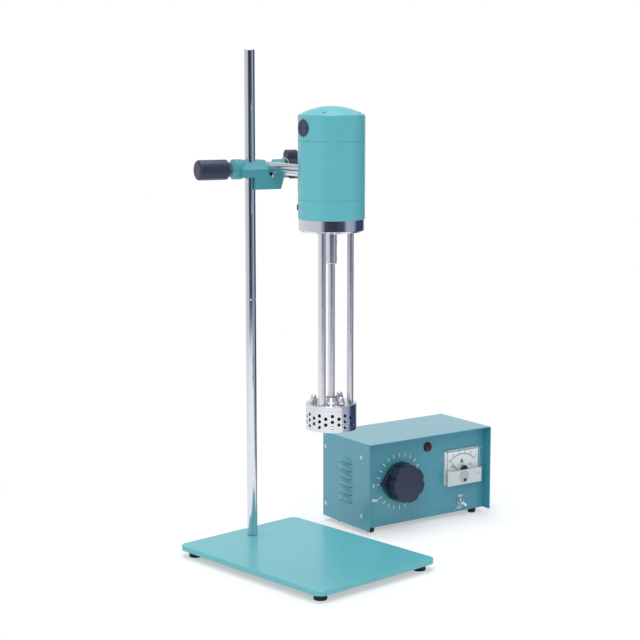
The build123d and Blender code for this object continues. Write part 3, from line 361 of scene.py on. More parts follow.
# %% Assign the finishes
slot_of = {s["node"]: s["material_slot"] for s in frame["record"]["subparts"]}
for name, held in nodes.items():
    held.data.materials.clear()
    # The rotor alone takes the dark steel instead of its slot's finish: painted shade inside the ring.
    held.data.materials.append(finishes["shadowed_steel" if name == "rotor" else slot_of[name]])
print("finished nodes:", len(slot_of))

# %% [markdown]
# ## Pieces turned on a lathe
# Most of this machine was turned: a profile spun round an axis. `spun` does the same. It draws
# the profile once, spins it through a full turn and shades it smooth, keeping real corners crisp.
# Small bevels are drawn into the profile, because every machined corner carries one, and that thin
# line of light along an edge is what tells the eye that a thing is metal and not a drawing.

# %% Helpers for turned pieces
corner_angle = radians(32)


def fit(name, mesh, body, slot, stands_for="", turn=None, finish=None):
    """Make an object of a finished bmesh, turn it into place and let it ride on its body.

    It may stand for one construction node, or for several with spaces between their names. Its
    large faces rule the shading, so that they look flat, or straight, right up to their bevels.
    """
    if turn is not None:
        bmesh.ops.transform(mesh, matrix=turn, verts=mesh.verts)
    bmesh.ops.recalc_face_normals(mesh, faces=mesh.faces)
    data = bpy.data.meshes.new(name)
    mesh.to_mesh(data)
    mesh.free()
    data.shade_smooth()
    data.set_sharp_from_angle(angle=corner_angle)
    data.materials.append(finishes[finish or slot])
    piece = bpy.data.objects.new(name, data)
    bpy.context.scene.collection.objects.link(piece)
    piece.modifiers.new("large_faces_rule", "WEIGHTED_NORMAL").keep_sharp = True
    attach(piece, body)
    if stands_for:
        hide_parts(*stands_for.split())
    return piece


def rounded(points, radius, steps=3):
    """Profile with its inner corners rounded: each point is (along the radius, along the axis)."""
    made = [Vector(points[0])]
    for before, here, after in zip(points, points[1:], points[2:]):
        before, here, after = Vector(before), Vector(here), Vector(after)
        reach = min(radius, (before - here).length * 0.45, (after - here).length * 0.45)
        start = here + (before - here).normalized() * reach
        end = here + (after - here).normalized() * reach
        for i in range(steps + 1):
            t = i / steps
            made.append(start * (1 - t) ** 2 + here * 2 * t * (1 - t) + end * t * t)
    made.append(Vector(points[-1]))
    return made


def spun(points, radius=0.4, segments=96):
    """Bmesh of a profile in millimetres spun about Z, its corners rounded by radius."""
    mesh = bmesh.new()
    profile = rounded(points, radius) if radius else [Vector(p) for p in points]
    verts = [mesh.verts.new((p.x * mm, 0, p.y * mm)) for p in profile]
    edges = [mesh.edges.new(pair) for pair in zip(verts, verts[1:])]
    bmesh.ops.spin(mesh, geom=verts + edges, cent=(0, 0, 0), axis=(0, 0, 1), angle=2 * pi,
                   steps=segments, use_merge=True)
    bmesh.ops.remove_doubles(mesh, verts=mesh.verts, dist=1e-6)
    return mesh


def bar(diameter, low, high, edge=0.5):
    """Bmesh of a round bar with rounded ends, from low to high along Z."""
    r = diameter / 2
    return spun([(0, low), (r, low), (r, high), (0, high)], edge)


def shift(x=0.0, y=0.0, z=0.0):
    """Matrix that moves by millimetres."""
    return Matrix.Translation(Vector((x, y, z)) * mm)


def repeated(mesh, places):
    """Bmesh with a copy of a piece at each matrix."""
    single = bpy.data.meshes.new("single")
    mesh.to_mesh(single)
    mesh.free()
    made = bmesh.new()
    for place in places:
        first = len(made.verts)
        made.from_mesh(single)
        made.verts.ensure_lookup_table()
        bmesh.ops.transform(made, matrix=place, verts=made.verts[first:])
    bpy.data.meshes.remove(single)
    return made


def heights(node):
    """Lowest and highest level of a node, in millimetres above the bench."""
    low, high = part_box(node)
    return low.z / mm, high.z / mm


print("corners sharper than", round(degrees(corner_angle)), "degrees stay crisp")

# %% [markdown]
# ## Stand rods
# The rod comes in two lengths screwed together. The chamfers at the joint leave a hairline groove,
# and that dark line is the only sign of it. The end of the upper length is chamfered as well.

# %% Turn the rods
plate_top = heights("base_plate")[1]
joint_level = heights("upper_rod")[0] + 15.0
rod_top = heights("upper_rod")[1]
rod_radius = 8.0
rod_end = 0.8


def rod_length(low, high):
    """One length of rod with a chamfer at both ends."""
    r = rod_radius
    return spun([(0, low), (r - rod_end, low), (r, low + rod_end), (r, high - rod_end),
                 (r - rod_end, high), (0, high)], 0.2)


fit("lower_rod_turned", rod_length(plate_top, joint_level), "rod", "polished_steel", "lower_rod",
    turn=at(on_rod(0, 0, 0)))
fit("upper_rod_turned", rod_length(joint_level, rod_top), "rod", "polished_steel", "upper_rod",
    turn=at(on_rod(0, 0, 0)))
print("rod joint at", joint_level, "mm, top at", rod_top)

# %% [markdown]
# ## Base plate and feet
# The plate is a flat casting with generous corners and a small rounded edge. Bevelling twice gives
# both: first the four upright edges, then the two rims that run round the plate. The feet taper
# a little, so that they come out of their mould.

# %% Build the plate and feet
def bevel(mesh, edges, width, segments):
    """Round the chosen edges by a width in millimetres."""
    bmesh.ops.bevel(mesh, geom=edges, offset=width * mm, offset_type="OFFSET", affect="EDGES",
                    segments=segments, profile=0.5, material=-1, clamp_overlap=True)


def slab(size, corner, rim, corner_segments=12, rim_segments=3):
    """Bmesh of a plate about the origin: corners rounded in plan, then both rims."""
    mesh = bmesh.new()
    bmesh.ops.create_cube(mesh, size=1.0)
    bmesh.ops.scale(mesh, vec=Vector(size) * mm, verts=mesh.verts)
    if corner:
        upright = [e for e in mesh.edges if abs(e.verts[0].co.z - e.verts[1].co.z) > 1e-6]
        bevel(mesh, upright, corner, corner_segments)
    if rim:
        bevel(mesh, [e for e in mesh.edges if e.calc_face_angle(0) > radians(60)], rim, rim_segments)
    return mesh


plate_low, plate_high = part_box("base_plate")
plate_size = (plate_high - plate_low) / mm
fit("base_plate_cast", slab(plate_size, 14.0, 1.5, 16, 4), "base", "teal_enamel", "base_plate",
    turn=at((plate_low + plate_high) / 2))

foot_inset = 19.0
foot_profile = [(0, 0), (9.2, 0), (10.0, 1.2), (9.0, plate_low.z / mm), (0, plate_low.z / mm)]
foot_places = [Vector((x, y, 0)) for x in (plate_low.x + foot_inset * mm, plate_high.x - foot_inset * mm)
               for y in (plate_low.y + foot_inset * mm, plate_high.y - foot_inset * mm)]
fit("base_feet_moulded", repeated(spun(foot_profile, 0.6, 48), [at(p) for p in foot_places]), "base",
    "black_rubber", "base_feet")
print("plate", [round(v, 1) for v in plate_size])

# %% [markdown]
# ## The clamp
# The clamp is a sand casting, so its corners are soft. A copy of the construction piece gets its
# doubled corners merged and every edge rounded. Its screws, washer and handle are turned.

# %% Build the clamp
def crisp_copy(node, edge=0.4, segments=2, angle=30):
    """Bmesh of a construction piece with its doubles merged and its corners rounded."""
    mesh = bmesh.new()
    mesh.from_mesh(nodes[node].data)
    bmesh.ops.remove_doubles(mesh, verts=mesh.verts, dist=2e-6)
    bmesh.ops.dissolve_limit(mesh, angle_limit=radians(0.5), verts=mesh.verts, edges=mesh.edges)
    corners = [e for e in mesh.edges if len(e.link_faces) == 2 and e.calc_face_angle(0) > radians(angle)]
    bevel(mesh, corners, edge, segments)
    return mesh


clamp_level = 590.0
arm_level = clamp_level + 2.0
arm_side = 30.0
jaw_end = 58.0
fit("clamp_casting_soft", crisp_copy("clamp_casting", 0.4), "clamp", "teal_enamel", "clamp_casting",
    finish="casting_enamel")

handle = spun([(0, 0), (14.6, 0), (15.25, 0.7), (15.25, 45.6), (12.6, 48.0), (0, 48.0)], 1.2)
fit("clamp_handle_turned", handle, "rod_lock", "black_phenolic", "clamp_handle",
    turn=at(on_rod(-40.0, 0, clamp_level), -handle_way))
fit("clamp_screw_turned", bar(10.0, 11.2, 60.0), "rod_lock", "machine_steel", "clamp_screw",
    turn=at(on_rod(0, 0, clamp_level), -handle_way))
fit("arm_screw_turned", bar(10.0, 42.2, 66.0), "arm_lock", "machine_steel", "arm_screw",
    turn=at(on_rod(0, 0, arm_level), handle_way))
washer = spun([(5.0, 0.1), (14.6, 0.1), (15.0, 0.5), (15.0, 1.7), (14.6, 2.1), (5.0, 2.1)], 0.2)
fit("knob_washer_turned", washer, "arm_lock", "machine_steel", "knob_washer",
    turn=at(on_rod(jaw_end, 0, arm_level), handle_way))
stop_screw = spun([(0, -2.0), (1.25, -1.6), (1.25, 0), (1.9, 0), (2.5, 0.6), (2.5, 11.0), (0, 11.0)],
                  0.15, 48)
fit("stop_screw_turned", stop_screw, "clamp", "polished_steel", "stop_screw",
    turn=at(on_rod(29.0, 21.0, clamp_level - 10.3), -arm_way), finish="lamp_chrome")


def lobed(reach, height, edge, segments=180, edge_segments=4, low=0.0):
    """Bmesh of an upright piece whose outline is reach(angle) in millimetres, with rounded rims."""
    mesh = bmesh.new()
    bmesh.ops.create_circle(mesh, cap_ends=True, segments=segments, radius=1.0)
    for v in mesh.verts:
        angle = atan2(v.co.y, v.co.x)
        v.co = Vector((cos(angle), sin(angle), 0)) * reach(angle) * mm + Vector((0, 0, low * mm))
    raised = bmesh.ops.extrude_face_region(mesh, geom=mesh.faces[:])
    lifted = [v for v in raised["geom"] if isinstance(v, bmesh.types.BMVert)]
    bmesh.ops.translate(mesh, vec=(0, 0, height * mm), verts=lifted)
    bevel(mesh, [e for e in mesh.edges if e.calc_face_angle(0) > radians(60)], edge, edge_segments)
    return mesh


lobe_reach = 26.0
lobe_radius = 9.0
lobe_circle = lobe_reach - lobe_radius
lobe_tip = 22.0             # beyond this the lobe alone makes the outline
waist_radius = 15.0


def three_lobes(angle):
    """Distance to the outline of three round lobes on a round middle, one lobe upward."""
    turn = (angle - pi / 2 + pi / 3) % (2 * pi / 3) - pi / 3
    inside = lobe_radius ** 2 - (lobe_circle * sin(turn)) ** 2
    lobe = lobe_circle * cos(turn) + sqrt(inside) if inside > 0 else 0.0
    return lobe if lobe > lobe_tip else (lobe ** 8 + waist_radius ** 8) ** (1 / 8)


fit("arm_knob_moulded", lobed(three_lobes, 17.5, 1.6, low=0.5), "arm_lock", "black_phenolic", "arm_knob",
    turn=at(on_rod(jaw_end + 2.1, 0, arm_level), handle_way))
print("clamp pieces built")

# %% [markdown]
# ## Arm and motor
# The housing is three tubes pushed together over a bright ring. Where two of them meet, each has a
# half-millimetre chamfer, which reads from afar as one fine dark line. The dome is a shallow part
# of a large ball that meets the side in a tight corner.

# %% Turn the arm and the motor housing
motor_radius = 47.65
seam = 0.5
lug_start = 204.5 - motor_radius
fit("arm_bar_turned", bar(18.0, -16.0, lug_start - 0.3, 1.0), "arm", "polished_steel", "arm_bar",
    turn=at(on_rod(arm_side, 0, arm_level), arm_way))
lug = spun([(9.06, -8.0), (12.5, -8.0), (13.5, -7.0), (13.5, 4.0), (9.06, 4.0), (9.06, -8.0)], 0.6)
fit("arm_lug_turned", lug, "head", "teal_enamel", "arm_lug",
    turn=at(on_rod(arm_side, lug_start, arm_level), arm_way))


def tube(low, high, r=motor_radius):
    """Section of housing with a chamfer at both ends and a wall the eye never sees through."""
    return spun([(r - 4, low), (r - seam, low), (r, low + seam), (r, high - seam), (r - seam, high),
                 (r - 4, high)], 0.15, 160)


cap_low, cap_high = heights("motor_cap")
lower_low = heights("drive_ring")[1] - 3.0
lower_high = lower_low + 27.7
rim_level = cap_high - 12.1
rim_radius = motor_radius - 2.4
dome_radius = (rim_radius ** 2 + 12.1 ** 2) / (2 * 12.1)
dome_steps = 20


def dome_level(r):
    """Height of the dome at a distance from the motor axis."""
    return cap_high - dome_radius + sqrt(dome_radius ** 2 - r ** 2)


dome = [(rim_radius * (1 - i / dome_steps), dome_level(rim_radius * (1 - i / dome_steps)))
        for i in range(1, dome_steps + 1)]
side = rounded([(motor_radius - 4, cap_low), (motor_radius - seam, cap_low), (motor_radius, cap_low + seam),
                (motor_radius, rim_level), dome[0]], 2.0)
fit("motor_cap_spun", spun([tuple(p) for p in side[:-1]] + dome, 0, 160), "head", "teal_enamel",
    "motor_cap", turn=head_axis)
fit("middle_casing_spun", tube(lower_high, cap_low), "head", "teal_enamel", "middle_casing",
    turn=head_axis)
fit("lower_casing_spun", tube(lower_low, lower_high), "head", "teal_enamel", "lower_casing",
    turn=head_axis)

ring_low = heights("drive_ring")[0]
ring_radius = motor_radius - 1.0
ring_edge = 2.5
ring = spun([(6.0, lower_low), (ring_radius, lower_low), (ring_radius, ring_low + ring_edge),
             (ring_radius - ring_edge, ring_low), (6.0, ring_low), (6.0, lower_low)], 0.3, 160)
fit("drive_ring_turned", ring, "head", "polished_steel", "drive_ring", turn=head_axis)

brush_way = Matrix.Rotation(radians(5.0), 3, "Z") @ -handle_way
brush_cap = spun([(0, 48.1), (6.6, 48.1), (7.4, 48.8), (11.4, 48.8), (12.3, 47.9), (12.3, 43.0),
                  (0, 43.0)], 0.25)
brush_level = cap_low + 18.5
fit("brush_caps_moulded",
    repeated(brush_cap, [at(on_head(brush_level), way) for way in (brush_way, -brush_way)]), "head",
    "black_phenolic", "brush_caps")

gland = spun([(2.2, 44.6), (4.5, 44.6), (4.5, 48.2), (3.8, 49.0), (2.6, 49.0), (2.2, 48.4), (2.2, 44.6)],
             0.2, 48)
gland_way = Matrix.Rotation(radians(154.0), 3, "Z") @ handle_way
fit("cable_gland_moulded", gland, "head", "black_rubber", "cable_gland",
    turn=at(on_head(lower_high - 11.4), gland_way))
print("motor from", ring_low, "to", cap_high)

# %% [markdown]
# ## Small screws
# Little fasteners are what give a machine its scale. Four sunk screws hold the dome. Each one is
# a shallow dish that catches a speck of light, and a black cross laid on it is painted shade
# for the recess of its cross.

# %% Build the sunk screws
def sunk_screw(diameter, height=0.6):
    """Bmesh of a low screw head with a dished rim; its top is at height above the surface."""
    r = diameter / 2
    return spun([(0, height - 0.35), (r * 0.45, height - 0.35), (r * 0.5, height), (r * 0.8, height),
                 (r, height * 0.5), (r, -0.8), (0, -0.8)], 0.12, 32)


def cross_slot(diameter, height=0.6):
    """Bmesh of a black cross lying on a screw head's face: painted shade for the recess of its cross."""
    arm = slab((diameter * 0.62, diameter * 0.14, 0.3), 0, 0.05, rim_segments=1)
    return repeated(arm, [shift(0, 0, height - 0.05) @ Matrix.Rotation(turn, 4, "Z")
                          for turn in (radians(45), radians(135))])


dome_screw_circle = 40.0
dome_screw_turns = [radians(-132.0 + 90.0 * i) for i in range(4)]
dome_screw_spots = []
for turn in dome_screw_turns:
    away = Matrix.Rotation(turn, 3, "Z") @ handle_way
    spot = on_head(dome_level(dome_screw_circle)) + away * dome_screw_circle * mm
    slope = away * dome_screw_circle + Vector((0, 0, sqrt(dome_radius ** 2 - dome_screw_circle ** 2)))
    dome_screw_spots.append(at(spot, slope))
fit("dome_screws", repeated(sunk_screw(6.0), dome_screw_spots), "head", "polished_steel",
    finish="machine_steel")
# The black crosses on the dome screws are painted shade in their recesses.
fit("dome_screw_recess_shade", repeated(cross_slot(7.0), dome_screw_spots), "head", "black_rubber")
print("dome screws:", len(dome_screw_spots))

# %% [markdown]
# ## Shaft, supports and work head
# Three slim rods carry the work head below the motor, and the shaft runs between them. All of it
# is polished. The flange is turned with a cone round the shaft, and a thin bronze bush shows on top.

# %% Turn the long slim pieces
sleeve_low, sleeve_high = heights("coupling_sleeve")
shaft_low = heights("drive_shaft")[0]
flange_level = heights("support_rods")[0] + 5.0
sleeve = spun([(4.9, sleeve_low), (6.8, sleeve_low), (7.6, sleeve_low + 0.8), (7.6, sleeve_high),
               (4.9, sleeve_high), (4.9, sleeve_low)], 0.2)
fit("coupling_sleeve_turned", sleeve, "drive", "polished_steel", "coupling_sleeve", turn=head_axis,
    finish="drawn_steel")
fit("drive_shaft_turned", bar(10.0, shaft_low, 486.0), "drive", "polished_steel", "drive_shaft",
    turn=head_axis, finish="drawn_steel")

support_ways = [Matrix.Rotation(radians(214.0 + 120.0 * i), 3, "Z") @ handle_way for i in range(3)]
support_spots = [at(on_head(0) + way * 27.1 * mm) for way in support_ways]
fit("support_rods_turned", repeated(bar(9.3, flange_level, ring_low, 0.3), support_spots), "head",
    "polished_steel", "support_rods", finish="drawn_steel")

socket_spots = []
for level, turn in ((495.1, 316.0), (472.9, 316.0)):
    way = Matrix.Rotation(radians(turn), 3, "Z") @ handle_way
    socket_spots.append(at(on_head(level) + way * 7.3 * mm, way))
socket = spun([(0, -0.9), (1.5, -0.9), (1.5, 0.4), (2.3, 0.4), (2.3, -1.0)], 0.1, 32)
fit("sleeve_screws", repeated(socket, socket_spots), "drive", "machine_steel")

flange_radius = 36.6
flange_low = flange_level - 6.8
cone_top = flange_level + 7.4
flange = spun([(6.0, flange_low), (flange_radius, flange_low), (flange_radius, flange_level - 0.8),
               (flange_radius - 0.8, flange_level), (11.0, flange_level), (10.2, flange_level + 0.6),
               (7.1, cone_top), (6.0, cone_top), (6.0, flange_low)], 0.4, 128)
fit("head_flange_turned", flange, "head", "polished_steel", "head_flange", turn=head_axis)
bush_low = heights("shaft_bush")[0]
bush = spun([(5.06, bush_low), (6.0, bush_low), (6.0, cone_top), (6.9, cone_top + 0.1),
             (6.9, cone_top + 0.8), (6.5, cone_top + 1.1), (5.06, cone_top + 1.1), (5.06, bush_low)], 0.1)
fit("shaft_bush_turned", bush, "head", "bronze", "shaft_bush", turn=head_axis)
print("flange top at", flange_level)

# %% [markdown]
# A domed nut is a hexagon with chamfered corners and a ball-like cap. The chamfer comes from
# bevelling the top of the hexagon, and the cap is spun and sunk into it.

# %% Build the domed nuts
def hexagon(across_flats, low, high, edge=0.5):
    """Bmesh of a hexagonal nut with softened corners."""
    mesh = bmesh.new()
    bmesh.ops.create_cone(mesh, cap_ends=True, segments=6, radius1=across_flats / sqrt(3) * mm,
                          radius2=across_flats / sqrt(3) * mm, depth=(high - low) * mm)
    bmesh.ops.translate(mesh, vec=(0, 0, (low + high) / 2 * mm), verts=mesh.verts)
    bevel(mesh, mesh.edges[:], edge, 2)
    return mesh


nut_spots = [at(on_head(flange_level) + Matrix.Rotation(radians(60), 3, "Z") @ way * 25.6 * mm)
             for way in support_ways]
fit("cap_nut_hexagons", repeated(hexagon(10.0, 0.05, 5.5), nut_spots), "head", "polished_steel",
    "cap_nuts", finish="drawn_steel")
cap_profile = [(0, 3.0), (4.3, 3.0), (4.3, 7.4)]
cap_profile += [(4.3 * cos(radians(a)), 7.4 + 4.3 * sin(radians(a))) for a in range(15, 91, 15)]
fit("cap_nut_domes", repeated(spun(cap_profile, 0, 48), nut_spots), "head", "polished_steel",
    finish="drawn_steel")

# %% [markdown]
# ## The perforated ring
# The ring starts as flat strip, punched and then rolled. One tile of strip is a square with a
# round hole, made by bridging a circle to a square border with the same number of corners. The
# tiles are laid out in columns, every second column half a step lower, then bent round and given
# their thickness, which also makes the walls of the holes.

# %% Punch and roll the perforated ring
column_count = 24
tile_tall = 8.3
top_margin = 3.05
ring_outer = flange_radius
tile_wide = 2 * pi * ring_outer / column_count
stator_low = heights("stator_ring")[0]
hole_radius = 2.6


def punched_tile():
    """Flat square in XZ with a round hole, four border steps on each side."""
    mesh = bmesh.new()
    bmesh.ops.create_circle(mesh, segments=16, radius=hole_radius)
    border = bmesh.ops.create_circle(mesh, segments=16, radius=1.0)["verts"]
    for v in border:
        reach = max(abs(v.co.x), abs(v.co.y))
        across, along = round(2 * v.co.x / reach), round(2 * v.co.y / reach)
        v.co = Vector((across * tile_wide / 4, along * tile_tall / 4, 0))
    bmesh.ops.bridge_loops(mesh, edges=mesh.edges[:])
    bmesh.ops.rotate(mesh, matrix=Matrix.Rotation(pi / 2, 3, "X"), verts=mesh.verts)
    bmesh.ops.scale(mesh, vec=(mm, mm, mm), verts=mesh.verts)
    return mesh


def plain_strip(low, high, column):
    """Grid of quads in one column between two levels, four steps wide."""
    mesh = bmesh.new()
    bmesh.ops.create_grid(mesh, x_segments=4, y_segments=1, size=0.5)
    bmesh.ops.rotate(mesh, matrix=Matrix.Rotation(pi / 2, 3, "X"), verts=mesh.verts)
    bmesh.ops.scale(mesh, vec=(tile_wide * mm, 1, (high - low) * mm), verts=mesh.verts)
    bmesh.ops.translate(mesh, vec=(column * tile_wide * mm, 0, (low + high) / 2 * mm), verts=mesh.verts)
    return mesh


def joined(meshes):
    """One bmesh out of several."""
    made = bmesh.new()
    for mesh in meshes:
        part = bpy.data.meshes.new("part")
        mesh.to_mesh(part)
        mesh.free()
        made.from_mesh(part)
        bpy.data.meshes.remove(part)
    return made


tile_spots = []
strips = []
half = tile_tall / 2
quarter = tile_tall / 4
for column in range(column_count):
    low_row = column % 2
    start = flange_low - top_margin - half * low_row
    rows = 3 - low_row
    for row in range(rows):
        level = start - half - row * tile_tall
        tile_spots.append(shift(column * tile_wide, 0, level))
    end = start - rows * tile_tall
    levels_above = [flange_low - top_margin - quarter * i for i in range(2 * low_row + 1)]
    levels_below = [end - quarter * i for i in range(2 * low_row + 1)]
    for high, low in zip([flange_low] + levels_above, levels_above):
        strips.append(plain_strip(low, high, column))
    for high, low in zip(levels_below, levels_below[1:] + [stator_low]):
        strips.append(plain_strip(low, high, column))
strip = joined([repeated(punched_tile(), tile_spots)] + strips)
for v in strip.verts:
    bend = v.co.x / (ring_outer * mm) + radians(4.2)
    v.co = Vector((cos(bend) * ring_outer * mm, sin(bend) * ring_outer * mm, v.co.z))
bmesh.ops.remove_doubles(strip, verts=strip.verts, dist=2e-5)
bmesh.ops.recalc_face_normals(strip, faces=strip.faces)
if sum(f.normal.xy.dot(f.calc_center_median().xy) for f in strip.faces) < 0:
    bmesh.ops.reverse_faces(strip, faces=strip.faces)
print("ring columns:", column_count, "tiles:", len(tile_spots))
bmesh.ops.solidify(strip, geom=strip.faces[:], thickness=3.0 * mm)
fit("stator_ring_rolled", strip, "head", "polished_steel", "stator_ring", turn=at(on_head(0), (0, 0, 1)))
web_low = flange_low - 3.0
web_high = flange_low - 0.1
web = spun([(8.0, web_low), (34.0, web_low), (34.0, web_high), (8.0, web_high), (8.0, web_low)], 0.2)
fit("stator_web", web, "head", "polished_steel", turn=head_axis)

# %% [markdown]
# ## The controller's case
# The case is folded sheet: a long cover over the top and both sides, and a tray with the panel.
# The cover starts as a box with two bevelled edges, loses its open faces and gets the thickness of
# sheet, and louvres are pressed out of its sides. The tray and the panel are copies of the
# construction pieces with their cut edges rounded.

# %% Build the case
box_depth = 128.4
cover_bottom, cover_top = heights("cover")


def folded_cover():
    """Sheet over the top and both sides, about the middle of the box, from a shell with open faces."""
    mesh = bmesh.new()
    bmesh.ops.create_cube(mesh, size=1.0)
    size = Vector((box_width, box_depth, cover_top - cover_bottom)) * mm
    bmesh.ops.scale(mesh, vec=size, verts=mesh.verts)
    folds = [e for e in mesh.edges if min(v.co.z for v in e.verts) > 0 and
             abs(e.verts[0].co.y - e.verts[1].co.y) > 1 * mm]
    bevel(mesh, folds, 2.5, 5)
    open_faces = [f for f in mesh.faces if abs(f.normal.y) > 0.9 or f.normal.z < -0.9]
    bmesh.ops.delete(mesh, geom=open_faces, context="FACES_ONLY")
    bmesh.ops.solidify(mesh, geom=mesh.faces[:], thickness=1.5 * mm)
    return mesh


controller_turn = Matrix.Rotation(atan2(width_way.y, width_way.x), 4, "Z")
cover_place = Matrix.Translation(on_box(box_width / 2, box_depth / 2, (cover_bottom + cover_top) / 2))
fit("cover_folded", folded_cover(), "base", "controller_enamel", "cover",
    turn=cover_place @ controller_turn)
fit("chassis_folded", crisp_copy("chassis", 0.3), "base", "controller_enamel", "chassis")
fit("front_panel_cut", crisp_copy("front_panel", 0.2), "base", "panel_enamel", "front_panel")


def hood():
    """Pressed louvre about the origin, bulging towards +Z with its open side towards -Y."""
    mesh = bmesh.new()
    bmesh.ops.create_uvsphere(mesh, u_segments=40, v_segments=20, radius=1.0)
    for edge_of in ((0, 1, 0), (0, 0, 1)):
        bmesh.ops.bisect_plane(mesh, geom=mesh.verts[:] + mesh.edges[:] + mesh.faces[:], dist=1e-6,
                               plane_co=(0, 0, 0), plane_no=edge_of, clear_inner=True)
    for v in mesh.verts:
        v.co.z = v.co.z ** 1.6
    size = Vector((louvre_length / 2, louvre_height, louvre_reach)) * mm
    bmesh.ops.scale(mesh, vec=size, verts=mesh.verts)
    bmesh.ops.solidify(mesh, geom=mesh.faces[:], thickness=0.4 * mm)
    return mesh


louvre_length = 39.0
louvre_height = 9.4
louvre_reach = 2.9
louvre_pitch = 12.9
louvre_top = 110.4
cover_sides = ((0, -width_way), (box_width, width_way))
louvre_spots = [at(on_box(u, 63.5, louvre_top - louvre_pitch * i), way)
                for u, way in cover_sides for i in range(6)]
fit("louvre_hoods", repeated(hood(), louvre_spots), "base", "controller_enamel")
# A thin black slab under each hood's lip stands for the opening and is painted shade for the shadow beneath
# the lip.
louvre_shade_spots = [spot @ shift(0, -0.9) for spot in louvre_spots]
fit("louvre_opening_shade", repeated(slab((louvre_length - 6, 1.7, 0.4), 0.8, 0, 4), louvre_shade_spots), "base",
    "black_rubber")

side_spots = [at(on_box(u, v, z), way) for u, way in cover_sides for v in (20.0, 119.5)
              for z in (30.3, 126.4)]
fit("side_screws", repeated(sunk_screw(7.0, 1.4), side_spots), "base", "lamp_chrome")
# The black crosses on the side screws are painted shade in their recesses.
fit("side_screw_recess_shade", repeated(cross_slot(4.4, 1.1), side_spots), "base", "black_rubber")

box_foot = [(0, 0), (5.4, 0), (6.25, 0.8), (7.25, 8.0), (0, 8.0)]
box_foot_spots = [at(on_box(u, v, 0)) for u in (20.0, box_width - 20.0) for v in (24.0, 104.4)]
fit("box_feet_moulded", repeated(spun(box_foot, 0.4, 40), box_foot_spots), "base", "black_rubber",
    "box_feet")
print("case", round(box_width, 1), "mm wide")

# %% [markdown]
# ## Speed dial
# The knob is a lobed grip on a drop-shaped skirt. Both outlines are written as a distance for each
# direction. The skirt's point lies at zero, and a ring of printed ticks runs round it, one for
# every fifteen degrees.

# %% Build the dial
skirt_radius = 32.5
skirt_point = 39.7
grip_radius = 31.2
valley_depth = 2.6
valley_radius = 7.0
touch = atan2(sqrt(1 - (skirt_radius / skirt_point) ** 2), skirt_radius / skirt_point)


def drop(angle):
    """Distance to the outline of a round skirt with a straight-sided point towards -X."""
    turn = abs((angle + 2 * pi) % (2 * pi) - pi)
    return skirt_radius / cos(touch - turn) if turn < touch else skirt_radius


def grip(angle):
    """Distance to the outline of seven wide lobes with narrow valleys between them."""
    step = 2 * pi / 7
    turn = (angle - radians(6.0) + step / 2) % step - step / 2
    centre = grip_radius + valley_radius - valley_depth
    inside = valley_radius ** 2 - (centre * sin(turn)) ** 2
    return min(grip_radius, centre * cos(turn) - sqrt(inside)) if inside > 0 else grip_radius


dial_turn = on_panel(dial_u, dial_z, panel_face - 0.8)
fit("dial_skirt", lobed(drop, 7.0, 1.2), "speed_dial", "black_phenolic", "dial_knob", turn=dial_turn)
fit("dial_grip", lobed(grip, 20.5, 1.8, 252, low=6.5), "speed_dial", "black_phenolic", turn=dial_turn)

print_thickness = 0.06
tick_inner = 40.5
tick_outer = 46.8


def printed_bar(length, width):
    """Bmesh of a thin printed line along X."""
    return slab((length, width, print_thickness), 0, 0)


printed_face = panel_face - print_thickness / 2
tick_step = 15.0
ticks = [on_panel(dial_u, dial_z, printed_face) @ Matrix.Rotation(radians(180.0 - tick_step * i), 4, "Z")
         @ shift((tick_inner + tick_outer) / 2) for i in range(23)]
fit("dial_ticks", repeated(printed_bar(tick_outer - tick_inner, 1.1), ticks), "base", "panel_enamel",
    finish="print_white")


def letters(text, size, weight=0.018):
    """Bmesh of a printed word, its middle at the origin, facing +Z."""
    curve = bpy.data.curves.new(text, "FONT")
    curve.body = text
    curve.size = size * mm
    curve.align_x = "CENTER"
    curve.align_y = "CENTER"
    curve.extrude = print_thickness / 2 * mm
    curve.offset = size * weight * mm
    word = bpy.data.objects.new(text, curve)
    bpy.context.scene.collection.objects.link(word)
    bpy.context.view_layer.update()
    data = bpy.data.meshes.new_from_object(word)
    mesh = bmesh.new()
    mesh.from_mesh(data)
    bmesh.ops.remove_doubles(mesh, verts=mesh.verts, dist=1e-7)
    bpy.data.objects.remove(word)
    bpy.data.curves.remove(curve)
    bpy.data.meshes.remove(data)
    return mesh


words = (("label_zero", "0", 8.0, 21.5, 77.2), ("label_max", "Max", 7.6, 24.4, 52.7),
         ("label_on", "ON", 6.0, 202.8, 34.0), ("label_off", "OFF", 6.0, 201.2, 14.4))
for name, text, size, u, z in words:
    fit(name, letters(text, size), "base", "panel_enamel", turn=on_panel(u, z, printed_face),
        finish="print_white")
print("ticks:", len(ticks))

# %% [markdown]
# ## Pilot lamp and switch
# The lamp is a dark red moulding that sits on the panel like a button. The switch has a short
# threaded bush with a nut, and its lever carries a white plastic tip.

# %% Build the lamp and the switch
lamp_u = 131.1
lamp_z = 127.2
lamp = [(0, 6.0), (3.0, 5.7), (5.6, 4.6), (7.2, 2.8), (8.0, 0.9), (8.0, 0.0), (0, 0.0)]
fit("lamp_button", spun(lamp, 0.5, 64), "base", "red_lens", "lamp_lens lamp_holder",
    turn=on_panel(lamp_u, lamp_z))

